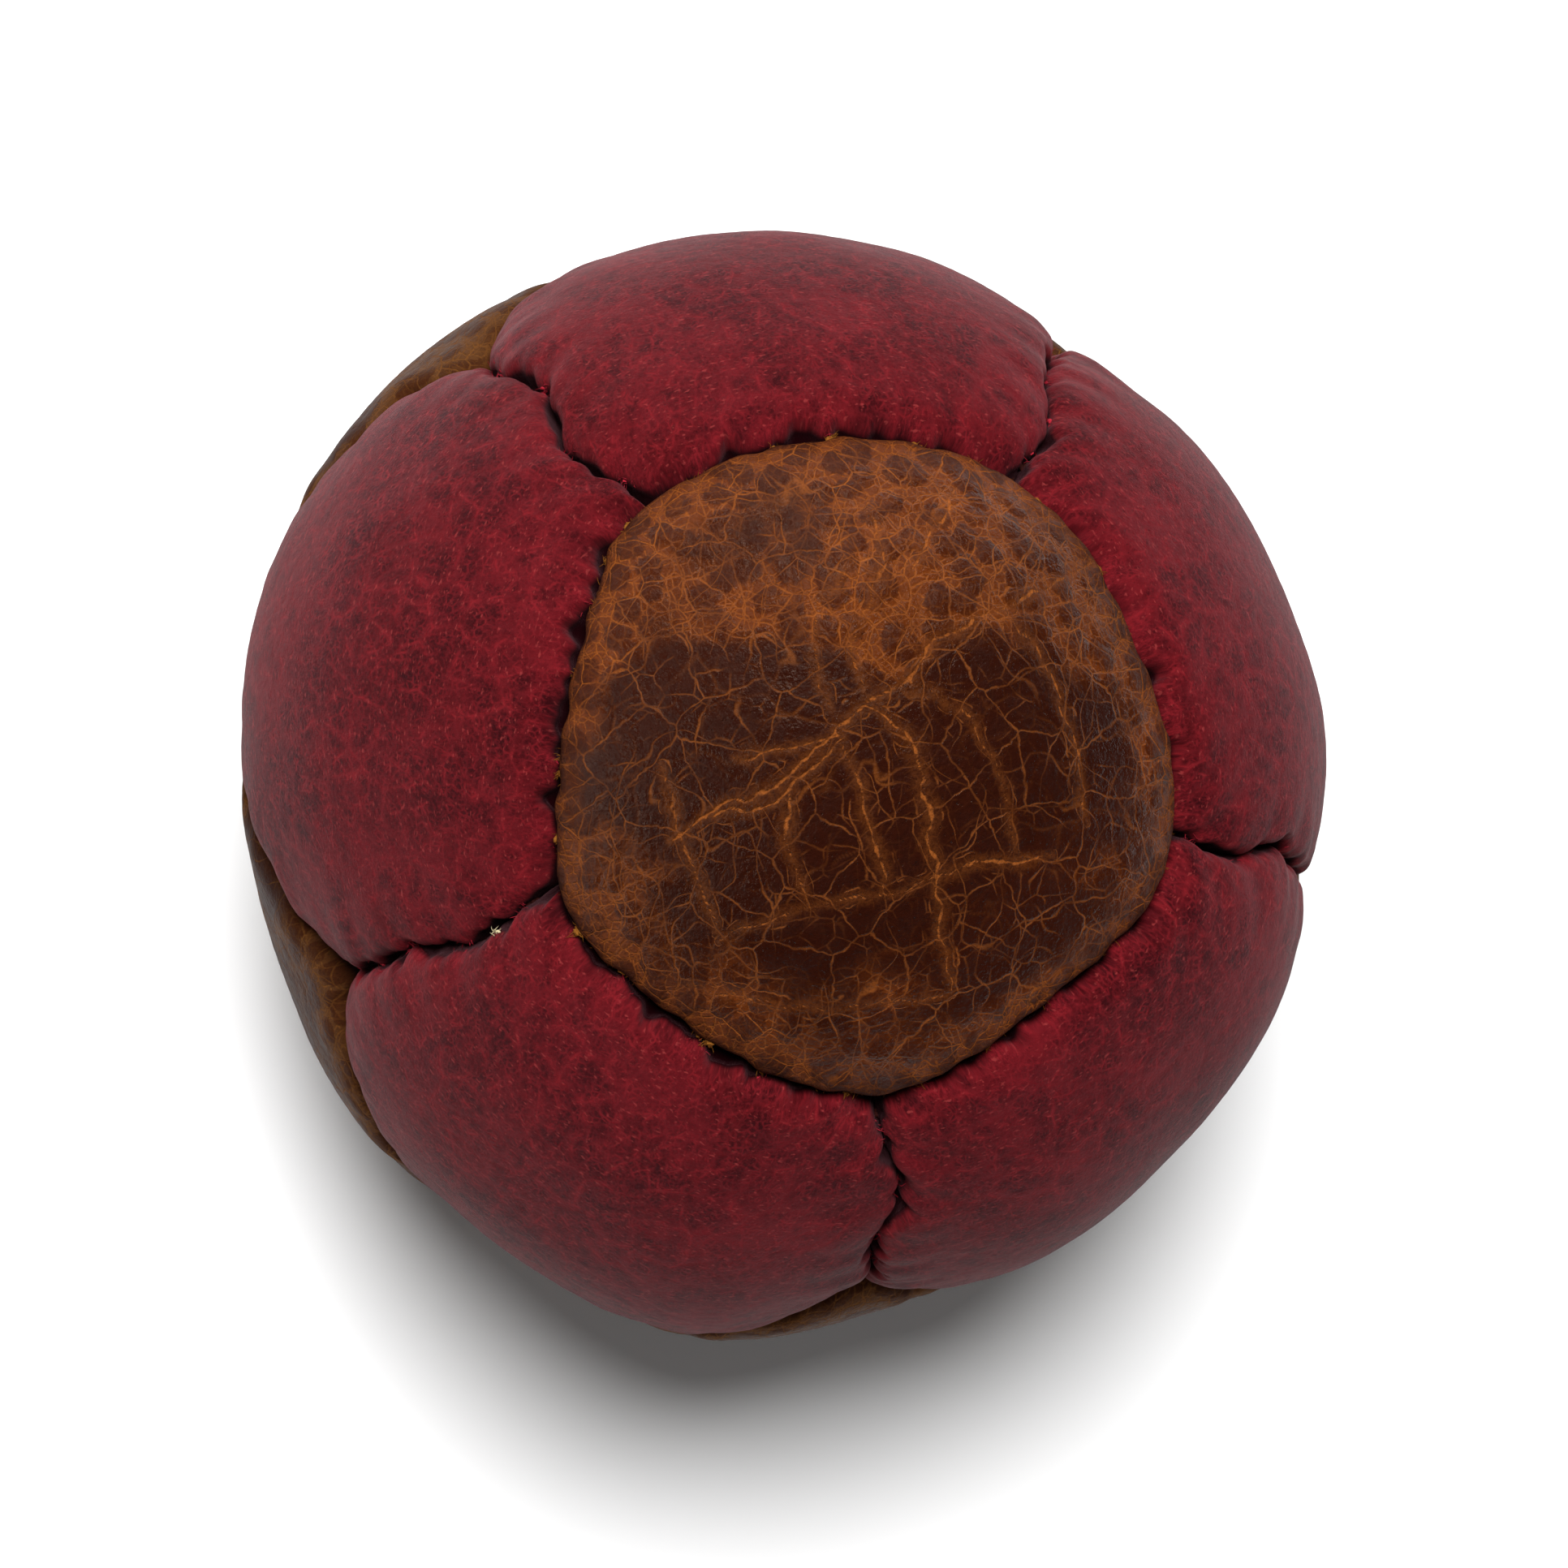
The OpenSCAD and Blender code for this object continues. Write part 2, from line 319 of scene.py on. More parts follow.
# Long creases of the crown panel, mm in the panel's own plane: points, width, depth
CROWN_CREASES = [
    ([(-4.4, 13.5), (-2.5, 9.3), (-1.4, 5.9), (1.0, 3.3), (2.6, 1.1), (3.8, -1.4), (6.0, -3.2), (7.6, -6.8), (9.2, -11.1), (11.4, -16.4)], 0.30, 1.0),
    ([(-3.4, 11.0), (-2.5, 6.7), (-0.8, 4.2), (0.6, 2.7)], 0.22, 0.8),
    ([(0.3, 9.1), (0.3, 6.5), (0.7, 4.1), (0.6, 2.7)], 0.20, 0.8),
    ([(0.6, 2.7), (-2.4, 2.0), (-5.5, 1.3), (-8.0, 0.8)], 0.17, 0.7),
    ([(2.6, 1.1), (0.9, -0.7), (-2.0, -1.7), (-5.3, -2.1), (-8.7, -2.5), (-11.7, -2.5), (-15.1, -3.5)], 0.28, 1.0),
    ([(0.0, 13.4), (-3.2, 12.9), (-6.4, 12.0), (-10.2, 11.0)], 0.22, 0.8),
    ([(-13.8, 12.7), (-15.1, 8.8), (-15.7, 4.9), (-15.4, 1.0), (-15.4, -3.1)], 0.24, 0.75),
    ([(-10.7, 10.6), (-9.4, 7.1), (-8.6, 3.3), (-8.3, -0.6), (-7.3, -4.6), (-7.4, -9.9)], 0.18, 0.75),
    ([(10.6, -2.4), (13.7, -5.0), (16.4, -6.6)], 0.24, 0.8),
    ([(7.3, -8.6), (3.7, -10.8), (-0.7, -11.9), (-5.1, -12.2)], 0.20, 0.8),
    ([(2.2, 3.5), (6.1, 4.0), (9.0, 3.2), (11.3, 0.5)], 0.15, 0.55),
    ([(2.6, 1.1), (6.5, 1.6), (11.0, -1.0), (15.0, -0.5)], 0.15, 0.5),
    ([(-1.4, 5.9), (-5.0, 6.5), (-8.9, 5.4)], 0.13, 0.55),
    ([(3.8, -1.4), (1.5, -5.0), (-3.0, -7.0), (-7.3, -7.4)], 0.13, 0.55),
]


def crackle(q, seed, crown):
    """The crease network of the brown leather at flat positions q: strength from 0 to 1, and the tone from 0, dark, to 1, light."""
    warp = np.column_stack([noise(q, 3.2, seed + 1, 2), noise(q, 3.2, seed + 2, 2)])
    w = q + 0.75 * warp
    fine = q + 0.35 * np.column_stack([noise(q, 1.3, seed + 3), noise(q, 1.3, seed + 4)]) + 0.4 * warp
    here = noise(q, 7.5, seed + 5)
    e1, _, _ = cells(w, 5.2, seed + 10)
    e2, _, _ = cells(fine, 2.3, seed + 11)
    e3, _, _ = cells(fine, 1.05, seed + 12)
    n1 = 0.5 + 0.5 * noise(q, 2.6, seed + 6)
    n2 = sstep(-0.5, 0.5, noise(q, 3.1, seed + 7) + 0.6 * here)
    rad = np.linalg.norm(q, axis=1)
    rim = sstep(5.0, 15.0, rad + 8.0 * here)
    if crown:
        # the side of the crown towards +X is worn into finer cells
        rim = np.clip(0.75 * sstep(11.5, 18.5, rad + 2.5 * here)
                      + 1.0 * sstep(3.2, 8.6, q[:, 0] - q[:, 1] * 0.06 + 1.6 * here), 0, 1)
    n3 = sstep(-0.1, 0.7, noise(q, 2.4, seed + 8)) * rim
    crease = np.full(len(q), 3.0)
    lines = np.maximum.reduce([
        np.exp(-(e1 / 0.15) ** 1.3) * (0.15 + 0.45 * n1),
        np.exp(-(e2 / 0.12) ** 1.3) * 0.40 * n2,
        np.exp(-(e3 / 0.11) ** 1.3) * 0.25 * n3,
    ])
    if crown:
        wob = q + 0.28 * np.column_stack([noise(q, 1.4, seed + 31, 2), noise(q, 1.4, seed + 32, 2)])
        for i, (line, width, depth) in enumerate(CROWN_CREASES):
            far, along = polyline_distance(wob, line)
            share = 1.6 - 0.6 * depth + 0.8 * (1 - np.minimum(1, np.minimum(along, 1 - along) / 0.12))
            crease = np.minimum(crease, far * share + 0.05 * (1 - depth))
            fade = np.minimum(1, np.minimum(along, 1 - along) / 0.10 + 0.25)
            wide = width * (0.75 + 0.5 * noise(q, 2.0, seed + 40 + i))
            core = 0.60 * np.exp(-(far / np.maximum(0.6 * wide, 0.10)) ** 1.5)
            halo = 0.26 * np.exp(-(far / (4.5 * width)) ** 2) * sstep(-0.6, 0.6, noise(q, 0.7, seed + 60 + i))
            lines = np.maximum(lines, (core + halo) * depth * fade)
    tone = np.clip(0.08 + 0.60 * rim + 0.22 * noise(q, 4.5, seed + 9, 2), 0, 1)
    return np.clip(lines, 0, 1), tone, crease


def make_mesh(name, verts, quads, tris):
    me = bpy.data.meshes.new(name)
    me.vertices.add(len(verts))
    me.vertices.foreach_set("co", np.asarray(verts, np.float32).ravel())
    corners = np.concatenate([np.asarray(quads, np.int32).ravel(), np.asarray(tris, np.int32).ravel()])
    starts = np.concatenate([np.arange(len(quads)) * 4, len(quads) * 4 + np.arange(len(tris)) * 3])
    me.loops.add(len(corners))
    me.loops.foreach_set("vertex_index", corners)
    me.polygons.add(len(starts))
    me.polygons.foreach_set("loop_start", starts.astype(np.int32))
    me.update(calc_edges=True)
    me.validate()
    me.polygons.foreach_set("use_smooth", np.ones(len(me.polygons), bool))
    ob = bpy.data.objects.new(name, me)
    bpy.context.scene.collection.objects.link(ob)
    return ob


def set_attr(me, name, values):
    values = np.asarray(values, np.float32)
    if values.ndim == 1:
        a = me.attributes.new(name, "FLOAT", "POINT")
        a.data.foreach_set("value", values)
    else:
        a = me.attributes.new(name, "FLOAT_VECTOR", "POINT")
        a.data.foreach_set("vector", values.ravel())


def set_uv(me, name, uv):
    layer = me.uv_layers.new(name=name)
    idx = np.zeros(len(me.loops), np.int32)
    me.loops.foreach_get("vertex_index", idx)
    layer.data.foreach_set("uv", np.asarray(uv, np.float32)[idx].ravel())


# ---------------------------------------------------------------------------
# One leather panel: a crowned outer face, rolled edges, allowances turned in, and a flesh side
# ---------------------------------------------------------------------------
def panel_corners(k):
    """The panel's corners anticlockwise seen from outside."""
    mine = [v for v in range(20) if IDEAL[v] @ AXES[k] > 0.75]
    f = FRAMES[k]
    return sorted(mine, key=lambda v: math.atan2(IDEAL[v] @ f[:, 1], IDEAL[v] @ f[:, 0]))


def azimuthal(d, f):
    """Directions to flat positions in the panel's plane, as angles from its axis."""
    x, y, z = d @ f[:, 0], d @ f[:, 1], d @ f[:, 2]
    r = np.sqrt(x * x + y * y)
    theta = np.arctan2(r, z)
    r = np.maximum(r, 1e-9)
    return np.column_stack([x / r * theta, y / r * theta])


def from_azimuthal(q, f):
    theta = np.linalg.norm(q, axis=1)
    c = np.where(theta > 1e-9, np.sin(theta) / np.maximum(theta, 1e-9), 1.0)
    return (q[:, :1] * c[:, None]) * f[:, 0] + (q[:, 1:] * c[:, None]) * f[:, 1] + np.cos(theta)[:, None] * f[:, 2]


def smooth_ring(v, sigma):
    """A closed line of values smoothed, with the standard deviation in points."""
    half = int(3 * sigma) + 1
    w = np.exp(-0.5 * (np.arange(-half, half + 1) / sigma) ** 2)
    w /= w.sum()
    return np.stack([np.convolve(np.concatenate([c[-half:], c, c[:half]]), w, "valid") for c in v.T], 1)


def boundary(k, count):
    """count points round the panel's edge, starting at its first corner: flat positions, and what lies there.
    The ideal edge comes with it, so that the middle of the panel doesn't follow the handwork."""
    f, corners = FRAMES[k], panel_corners(k)
    per = count // 5
    out = {n: [] for n in ("q", "shut", "ideal", "pull", "open", "seam", "t", "corner", "lapped")}
    for j in range(5):
        a, b = corners[j], corners[(j + 1) % 5]
        key = (min(a, b), max(a, b))
        s = SEAMS[key]
        t = np.arange(per) / per
        ts = t if key[0] == a else 1 - t
        d, n = seam_points(s, ts)
        side = 1.0 if n @ AXES[k] > 0 else -1.0
        near_corner = np.minimum(t, 1 - t) * SEAM_L
        gap = opening(s, ts, side * (1 if not SEAM[s]["crown"] else 0))
        if SEAM[s]["crown"]:
            gap = opening(s, ts, 1.0 if k == 0 else -1.0)
        gap = gap + 0.12 * np.exp(-near_corner / 1.1) * (0.3 if k == 0 else 1.0)
        out["q"].append(azimuthal(unit(d + (gap / (BALL_R * 0.965))[:, None] * side * n), f))
        out["shut"].append(azimuthal(unit(d + (0.03 / (BALL_R * 0.965)) * side * n), f))
        ia, ib = IDEAL[a], IDEAL[b]
        w = math.acos(float(ia @ ib))
        di = (np.sin((1 - t) * w)[:, None] * ia + np.sin(t * w)[:, None] * ib) / math.sin(w)
        out["ideal"].append(azimuthal(di, f))
        out["pull"].append(stitch_pull(s, ts))
        out["open"].append(gap)
        out["seam"].append(np.full(per, s))
        out["t"].append(ts)
        out["corner"].append(near_corner)
        out["lapped"].append(np.full(per, 1.0 if SEAM[s]["crown"] and k != 0 else 0.0))
    out = {n: np.concatenate(v) for n, v in out.items()}
    # leather can't be folded to a sharp point, so each corner is a small round
    step = 5 * SEAM_L / count
    w = np.exp(-((out["corner"] / 1.5) ** 2))[:, None]
    out["q"] = out["q"] * (1 - w) + smooth_ring(out["q"], 0.50 / step) * w
    middle = smooth_ring(out["shut"], 0.9 / step)
    out["soft"] = middle
    out["lapped"] = smooth_ring(out["lapped"][:, None], 0.7 / step)[:, 0]
    return out


def ring_layout(n):
    """For rings 1..n of 10*i points: each point's ring and its share round the panel."""
    ring = np.repeat(np.arange(1, n + 1), 10 * np.arange(1, n + 1))
    start = 1 + 5 * np.arange(0, n + 1) * np.arange(-1, n) // 1
    first = np.concatenate([[0], np.cumsum(10 * np.arange(1, n + 1))])[:-1]
    pos = np.arange(len(ring)) - np.repeat(first, 10 * np.arange(1, n + 1))
    return ring, pos, first


def ring_faces(n):
    """Quads and triangles between the middle point 0 and rings 1..n, where ring i has 10*i points."""
    first = 1 + np.concatenate([[0], np.cumsum(10 * np.arange(1, n + 1))])[:-1]
    quads, tris = [], []
    for sector in range(10):
        tris.append([[0, first[0] + sector, first[0] + (sector + 1) % 10]])
    for i in range(1, n):
        m, mo = 10 * i, 10 * (i + 1)
        for sector in range(10):
            inner = first[i - 1] + (sector * i + np.arange(i + 1)) % m
            outer = first[i] + (sector * (i + 1) + np.arange(i + 2)) % mo
            if sector % 2 == 0:      # quads lean to the sector's start, one triangle at its end
                quads.append(np.column_stack([inner[:-1], outer[:-2], outer[1:-1], inner[1:]]))
                tris.append([[inner[-1], outer[-2], outer[-1]]])
            else:
                quads.append(np.column_stack([inner[:-1], outer[1:-1], outer[2:], inner[1:]]))
                tris.append([[inner[0], outer[0], outer[1]]])
    return np.concatenate(quads), np.concatenate(tris), first


def lifted(q_flat, f, radius):
    """Points in the row frame, mm, from flat angles and radii."""
    return CENTRE + from_azimuthal(q_flat, f) * radius[:, None]


def press_flat(p, level):
    """Flattens whatever lies under a level, with a soft turn into the flat."""
    soft = 0.25
    z = p[:, 2] - level
    p = p.copy()
    p[:, 2] = level + np.where(z > 2 * soft, z, np.where(z < -2 * soft, 0.0, (z + 2 * soft) ** 2 / (8 * soft)))
    return p


def build_panel(k, name, kind):
    crown, brown = kind == "crown", kind in ("crown", "brown")
    n = N_RINGS[kind]
    f = FRAMES[k]
    seed = 100 + 37 * k
    apo = APO * BALL_R * 0.965
    # the section from the middle of the panel out over the rolled edge
    flat_len = apo - ROLL_R
    total = flat_len + ROLL_R * math.pi / 2
    ell = np.arange(1, n + 1) / n * total
    th = np.clip((ell - flat_len) / ROLL_R, 0, math.pi / 2)
    dist = np.where(ell <= flat_len, apo - ell, ROLL_R * (1 - np.sin(th)))
    drop = ROLL_R * (1 - np.cos(th))
    s_ring = 1 - dist / apo

    full = boundary(k, 10 * n)
    ring, pos, first = ring_layout(n)

    def at_share(values, share):
        """Values round the edge read at a share from 0 to 1 of the way round."""
        m = len(full["t"])
        x = share * m
        i = np.floor(x).astype(int) % m
        j = (i + 1) % m
        g = (x - np.floor(x))
        if values.ndim == 2:
            g = g[:, None]
        return values[i] * (1 - g) + values[j] * g

    share = pos / (10.0 * ring)
    s = s_ring[ring - 1]
    warp = sstep(0.0, 1.0, s) ** 2.2
    qb, qs, qi = at_share(full["q"], share), at_share(full["soft"], share), at_share(full["ideal"], share)
    q = s[:, None] * (qi + warp[:, None] * (qs - qi) + (s ** 16)[:, None] * (qb - qs))
    d_edge = dist[ring - 1]
    pull = at_share(full["pull"], share)
    # distance to the nearest corner decides how deep the corner sinks
    edge_t = share * 5 % 1
    corner_mm = np.minimum(edge_t, 1 - edge_t) * SEAM_L * np.clip(s, 0.3, 1)
    corner_mm = np.sqrt(corner_mm ** 2 + 1.0) - 1.0
    lapped = np.concatenate([[0], at_share(full["lapped"], share)])
    q = np.vstack([[0, 0], q])
    d_edge = np.concatenate([[apo], d_edge])
    pull = np.concatenate([[0], pull])
    corner_mm = np.concatenate([[99], corner_mm])
    share_all = np.concatenate([[0], share])
    roll = np.concatenate([[0], drop[ring - 1]])

    mm_flat = q * BALL_R
    dirs = from_azimuthal(q, f)
    cosang = dirs @ f[:, 2]
    near = np.exp(-d_edge / 1.5)
    base = crown_height(cosang) * roundness(dirs)
    # between the stitches the edge puffs up, and at each stitch it is drawn in
    drawn = np.clip(pull, 0, 1.2) * (0.25 if crown else 1.0)
    puff = 0.18 * np.exp(-((d_edge - 2.2) / 1.9) ** 2) * (1 - 0.7 * np.clip(drawn, 0, 1))
    sink = (0.16 * np.exp(-d_edge / 2.4)
            + 0.30 * drawn * np.exp(-d_edge / 0.9)
            + lapped * (0.95 * np.exp(-d_edge / 1.4) - 0.50 * np.clip(pull, 0, 1) * np.exp(-d_edge / 0.9))
            + (0.30 if crown else 1.10) * np.exp(-corner_mm / 1.7) * np.exp(-d_edge / 1.5)
            + 0.25 * np.exp(-corner_mm / 4.0) * np.exp(-d_edge / 3.2))
    # small gathers that run in from the seam
    u_mm = share_all * 5 * SEAM_L
    ring_pos = np.column_stack([np.cos(share_all * 2 * math.pi), np.sin(share_all * 2 * math.pi)]) * 5 * SEAM_L / (2 * math.pi)
    gathers = noise(ring_pos, 1.1, seed + 70) * 0.035 * np.exp(-((d_edge - 0.8) / 1.2) ** 2)
    gathers += noise(ring_pos, 3.0, seed + 71) * 0.05 * np.exp(-((d_edge - 1.4) / 2.4) ** 2)
    gathers *= 0.5 if crown else 1.0
    macro = base - roll - sink + puff + gathers
    macro += 0.07 * noise(mm_flat, 5.5, seed + 72) * (1 - near)
    fine = 0.008 * noise(mm_flat, 0.9, seed + 73, 2)
    lines, tone, crease = np.zeros(len(q)), np.zeros(len(q)), np.full(len(q), 3.0)
    flatten_edge = sstep(0.2, 1.6, d_edge)
    if brown:
        lines, tone, crease = crackle(mm_flat, seed, crown)
        lines = lines * (0.35 + 0.65 * flatten_edge)
        fine = fine - 0.07 * lines + 0.006 * noise(mm_flat, 0.5, seed + 74)
    else:
        e, _, _ = cells(mm_flat + 0.5 * np.column_stack([noise(mm_flat, 2.0, seed + 75), noise(mm_flat, 2.0, seed + 76)]), 2.6, seed + 77)
        lines = np.exp(-(e / 0.22) ** 1.3) * sstep(-0.4, 0.5, noise(mm_flat, 5.0, seed + 78))
        tone = np.clip(0.5 + 0.5 * noise(mm_flat, 3.4, seed + 79, 3, 0.6), 0, 1)
        fine = fine - 0.015 * lines + 0.006 * noise(mm_flat, 0.5, seed + 80)
    radius = macro + fine
    outer = press_flat(CENTRE + dirs * radius[:, None], 0.0)

    # down the seam to the end of the allowance, along the last ring's directions
    edge_dir, edge_r = dirs[-10 * n:], radius[-10 * n:]
    shut_dir = from_azimuthal(full["shut"], f)
    steps = [0.12, 0.26, 0.42, 0.6, 0.8, 1.0]
    skirt, skirt_depth = [], []
    lean = unit(f[:, 2] - (edge_dir @ f[:, 2])[:, None] * edge_dir)   # towards the panel's middle, along the surface
    for g in steps:
        r = edge_r * (1 - g) + ALLOWANCE_R * g
        # below the mouth of the seam the two leathers lie face to face
        meet = float(sstep(0.05, 0.5, g))
        w = noise(np.column_stack([ring_pos[-10 * n:], np.full(10 * n, 9.0 * g)]), 1.1, seed + 81) * 0.02 * (1 - meet)
        way = unit(edge_dir * (1 - meet) + shut_dir * meet)
        pts = CENTRE + (way * r[:, None] + lean * w[:, None])
        skirt.append(press_flat(pts, LEATHER_T * 0.15))
        skirt_depth.append(np.full(10 * n, g))
    # the flesh side, on a grid a quarter as fine
    ni = n // 4
    ring_i, pos_i, first_i = ring_layout(ni)
    share_i = pos_i / (10.0 * ring_i)
    d_in = np.linspace(apo, LEATHER_T, ni + 1)[1:]
    s_in = 1 - d_in / apo
    qb, qi = at_share(full["q"], share_i), at_share(full["ideal"], share_i)
    si = s_in[ring_i - 1]
    q_in = np.vstack([[0, 0], si[:, None] * (qi + (sstep(0, 1, si) ** 2.2)[:, None] * (qb - qi))])
    dirs_in = from_azimuthal(q_in, f)
    d_in_all = np.concatenate([[apo], d_in[ring_i - 1]])
    pull_in = np.concatenate([[0], at_share(full["pull"], share_i)])
    r_in = crown_height(dirs_in @ f[:, 2]) * roundness(dirs_in) - LEATHER_T
    r_in -= 0.20 * np.exp(-d_in_all / 2.4) + 0.35 * np.exp(-d_in_all / 1.5) + 0.5 * np.exp(-(d_in_all - LEATHER_T) / 0.9)
    r_in += 0.03 * noise(dirs_in * BALL_R, 1.2, seed + 82)
    inner = press_flat(CENTRE + dirs_in * r_in[:, None], LEATHER_T)
    last_dir, last_r = dirs_in[-10 * ni:], r_in[-10 * ni:]
    walls = []
    for g in (0.35, 0.7, 1.0):
        r = last_r * (1 - g) + ALLOWANCE_R * g
        walls.append(press_flat(CENTRE + last_dir * r[:, None], LEATHER_T * 1.05))

    # faces
    quads_o, tris_o, _ = ring_faces(n)
    base_i = len(outer)
    quads, tris = [quads_o], [tris_o]
    m = 10 * n
    prev = np.arange(len(outer) - m, len(outer))
    verts = [outer]
    count = len(outer)
    for sk in skirt:
        now = np.arange(count, count + m)
        quads.append(np.column_stack([prev, now, np.roll(now, -1), np.roll(prev, -1)]))
        verts.append(sk)
        prev, count = now, count + m
    inner_start = count
    qi_faces, ti_faces, _ = ring_faces(ni)
    verts.append(inner)
    quads.append(qi_faces[:, ::-1] + inner_start)
    tris.append(ti_faces[:, ::-1] + inner_start)
    count += len(inner)
    mi = 10 * ni
    prev_i = np.arange(count - mi, count)
    for wl in walls:
        now = np.arange(count, count + mi)
        quads.append(np.column_stack([prev_i, np.roll(prev_i, -1), np.roll(now, -1), now]))
        verts.append(wl)
        prev_i, count = now, count + mi
    # the cut edge, from the fine ring to the coarse one
    assert m == 4 * mi
    coarse = prev_i
    fine_ring = prev
    i4 = np.arange(mi)
    nxt = np.roll(coarse, -1)
    fan = []
    for g in range(4):
        a = fine_ring[(4 * i4 + g) % m]
        b = fine_ring[(4 * i4 + g + 1) % m]
        fan.append(np.column_stack([a, coarse if g < 2 else nxt, b]))
        if g == 1:
            fan.append(np.column_stack([b, coarse, nxt]))
    tris.append(np.concatenate(fan))
    verts = np.concatenate(verts)

    total_n = len(verts)
    att = {
        "edge_mm": np.zeros(total_n), "crack": np.zeros(total_n), "tone": np.full(total_n, 0.4),
        "raw": np.zeros(total_n), "depth": np.zeros(total_n), "pull": np.zeros(total_n),
        "crease_mm": np.full(total_n, 3.0),
    }
    no = len(outer)
    att["edge_mm"][:no] = d_edge
    att["crack"][:no] = lines
    att["tone"][:no] = tone
    att["crease_mm"][:no] = crease
    att["pull"][:no] = np.clip(pull, 0, 1)
    # depth carries painted shade: 0 on the open face, rising over the rolled edge into the seam gap and at the sunken
    # corners, and full on the seam walls and the flesh side
    att["depth"][:no] = np.clip(roll / ROLL_R, 0, 1) * 0.5 + 0.12 * np.exp(-corner_mm / 1.2) * np.exp(-d_edge / 0.8)
    flat = np.zeros((total_n, 2))
    flat[:no] = mm_flat
    uv_r = np.zeros((total_n, 2))
    edge_flat = mm_flat[-m:]
    edge_u = unit(edge_flat)
    for i, g in enumerate(steps):
        sl = slice(no + i * m, no + (i + 1) * m)
        att["depth"][sl] = 0.5 + 0.5 * g
        flat[sl] = edge_flat + edge_u * (ROLL_R * 0.6 + g * 3.2)
    inn = slice(inner_start, total_n)
    att["raw"][inn] = 1.0
    att["depth"][inn] = 1.0
    inner_flat = np.concatenate([q_in * BALL_R] + [q_in[-mi:] * BALL_R * (1 + 0.06 * (j + 1)) for j in range(3)])
    flat[inn] = inner_flat
    # the texture map: the grain side fills it, the flesh side sits in a corner
    # the roll is drawn out so that it gets its share of the map
    radial = np.concatenate([[0], ell[ring - 1]])
    grow = radial / np.maximum(apo - d_edge, 1e-6)
    grow[0] = 1.0
    uvp = mm_flat * np.clip(grow, 1.0, 1.2)[:, None]
    uv_all = np.zeros((total_n, 2))
    uv_all[:no] = uvp
    for i, g in enumerate(steps):
        uv_all[no + i * m: no + (i + 1) * m] = uvp[-m:] + edge_u * g * 3.0
    reach = np.abs(uv_all[:inner_start]).max() * 1.005
    size = 0.5 / reach
    uv = 0.5 + uv_all * size
    uv[inn] = 0.075 + inner_flat * (0.068 / np.linalg.norm(inner_flat, axis=1).max())

    # torn fibres and nubs of raw leather at the stitch holes
    fib = fibres(k, kind, outer[-m:], edge_dir, lean, full, seed)
    if fib is not None:
        fv, ft, fraw = fib
        tris.append(ft + total_n)
        verts = np.concatenate([verts, fv])
        extra = len(fv)
        for key in att:
            att[key] = np.concatenate([att[key], np.full(extra, {"raw": 1.0, "tone": 0.8, "pull": 1.0}.get(key, 0.0))])
        att["fibre"] = np.concatenate([np.zeros(total_n), fraw])
        flat = np.concatenate([flat, np.tile([[25.0, 25.0]], (extra, 1)) + (fv[:, :2] - fv[:, :2].mean(0)) * 0.1])
        uv = np.concatenate([uv, np.column_stack([0.93 + 0.03 * ((np.arange(extra) * 0.618) % 1), 0.93 + 0.03 * ((np.arange(extra) * 0.317) % 1)])])
    else:
        att["fibre"] = np.zeros(total_n)

    ob = make_mesh(name, verts * MM, np.concatenate(quads), np.concatenate(tris))
    me = ob.data
    for key, val in att.items():
        set_attr(me, key, val)
    set_attr(me, "flat_mm", np.column_stack([flat, np.full(len(flat), 10.0 * k)]))
    set_uv(me, "OFBake", uv)
    return ob


SPIKE = np.array([[math.cos(a), math.sin(a), 0] for a in (0.0, 2.094, 4.189)])


def ico(level):
    """A ball of triangles, radius 1."""
    t = (1 + 5 ** 0.5) / 2
    v = unit(np.array([[-1, t, 0], [1, t, 0], [-1, -t, 0], [1, -t, 0], [0, -1, t], [0, 1, t], [0, -1, -t], [0, 1, -t],
                       [t, 0, -1], [t, 0, 1], [-t, 0, -1], [-t, 0, 1]]))
    faces = np.array([[0, 11, 5], [0, 5, 1], [0, 1, 7], [0, 7, 10], [0, 10, 11], [1, 5, 9], [5, 11, 4], [11, 10, 2], [10, 7, 6],
                      [7, 1, 8], [3, 9, 4], [3, 4, 2], [3, 2, 6], [3, 6, 8], [3, 8, 9], [4, 9, 5], [2, 4, 11], [6, 2, 10], [8, 6, 7], [9, 8, 1]])
    for _ in range(level):
        e = np.sort(np.concatenate([faces[:, [0, 1]], faces[:, [1, 2]], faces[:, [2, 0]]]), axis=1)
        ue, inv = np.unique(e, axis=0, return_inverse=True)
        inv = inv.reshape(-1)
        mid = unit(v[ue[:, 0]] + v[ue[:, 1]]) + 0.0
        a, b, c = (inv[i * len(faces):(i + 1) * len(faces)] + len(v) for i in range(3))
        v = np.concatenate([v, mid])
        faces = np.concatenate([
            np.column_stack([faces[:, 0], a, c]), np.column_stack([faces[:, 1], b, a]),
            np.column_stack([faces[:, 2], c, b]), np.column_stack([a, b, c])])
    return v, faces


def fibre(start, way, length, thick, r, bend):
    """One tapering fibre of three sides that bends as it goes: points and triangles."""
    way = unit(way)
    side = unit(np.cross(way, r.standard_normal(3)))
    rings, steps = [], 4
    p, w = np.array(start, float), way.copy()
    curl = r.standard_normal(3) * bend
    for i in range(steps):
        a = unit(np.cross(w, side + 1e-3))
        b = np.cross(w, a)
        t = thick * (1 - 0.75 * i / steps)
        rings.append(p + t * (SPIKE[:, :1] * a + SPIKE[:, 1:2] * b))
        p = p + w * length / steps
        w = unit(w + curl / steps)
    v = np.concatenate(rings + [[p]])
    tri = [[2, 1, 0]]
    for i in range(steps - 1):
        for j in range(3):
            a, b = 3 * i + j, 3 * i + (j + 1) % 3
            tri += [[a, b, b + 3], [a, b + 3, a + 3]]
    top = 3 * (steps - 1)
    tri += [[top + j, top + (j + 1) % 3, 3 * steps] for j in range(3)]
    return v, np.array(tri)


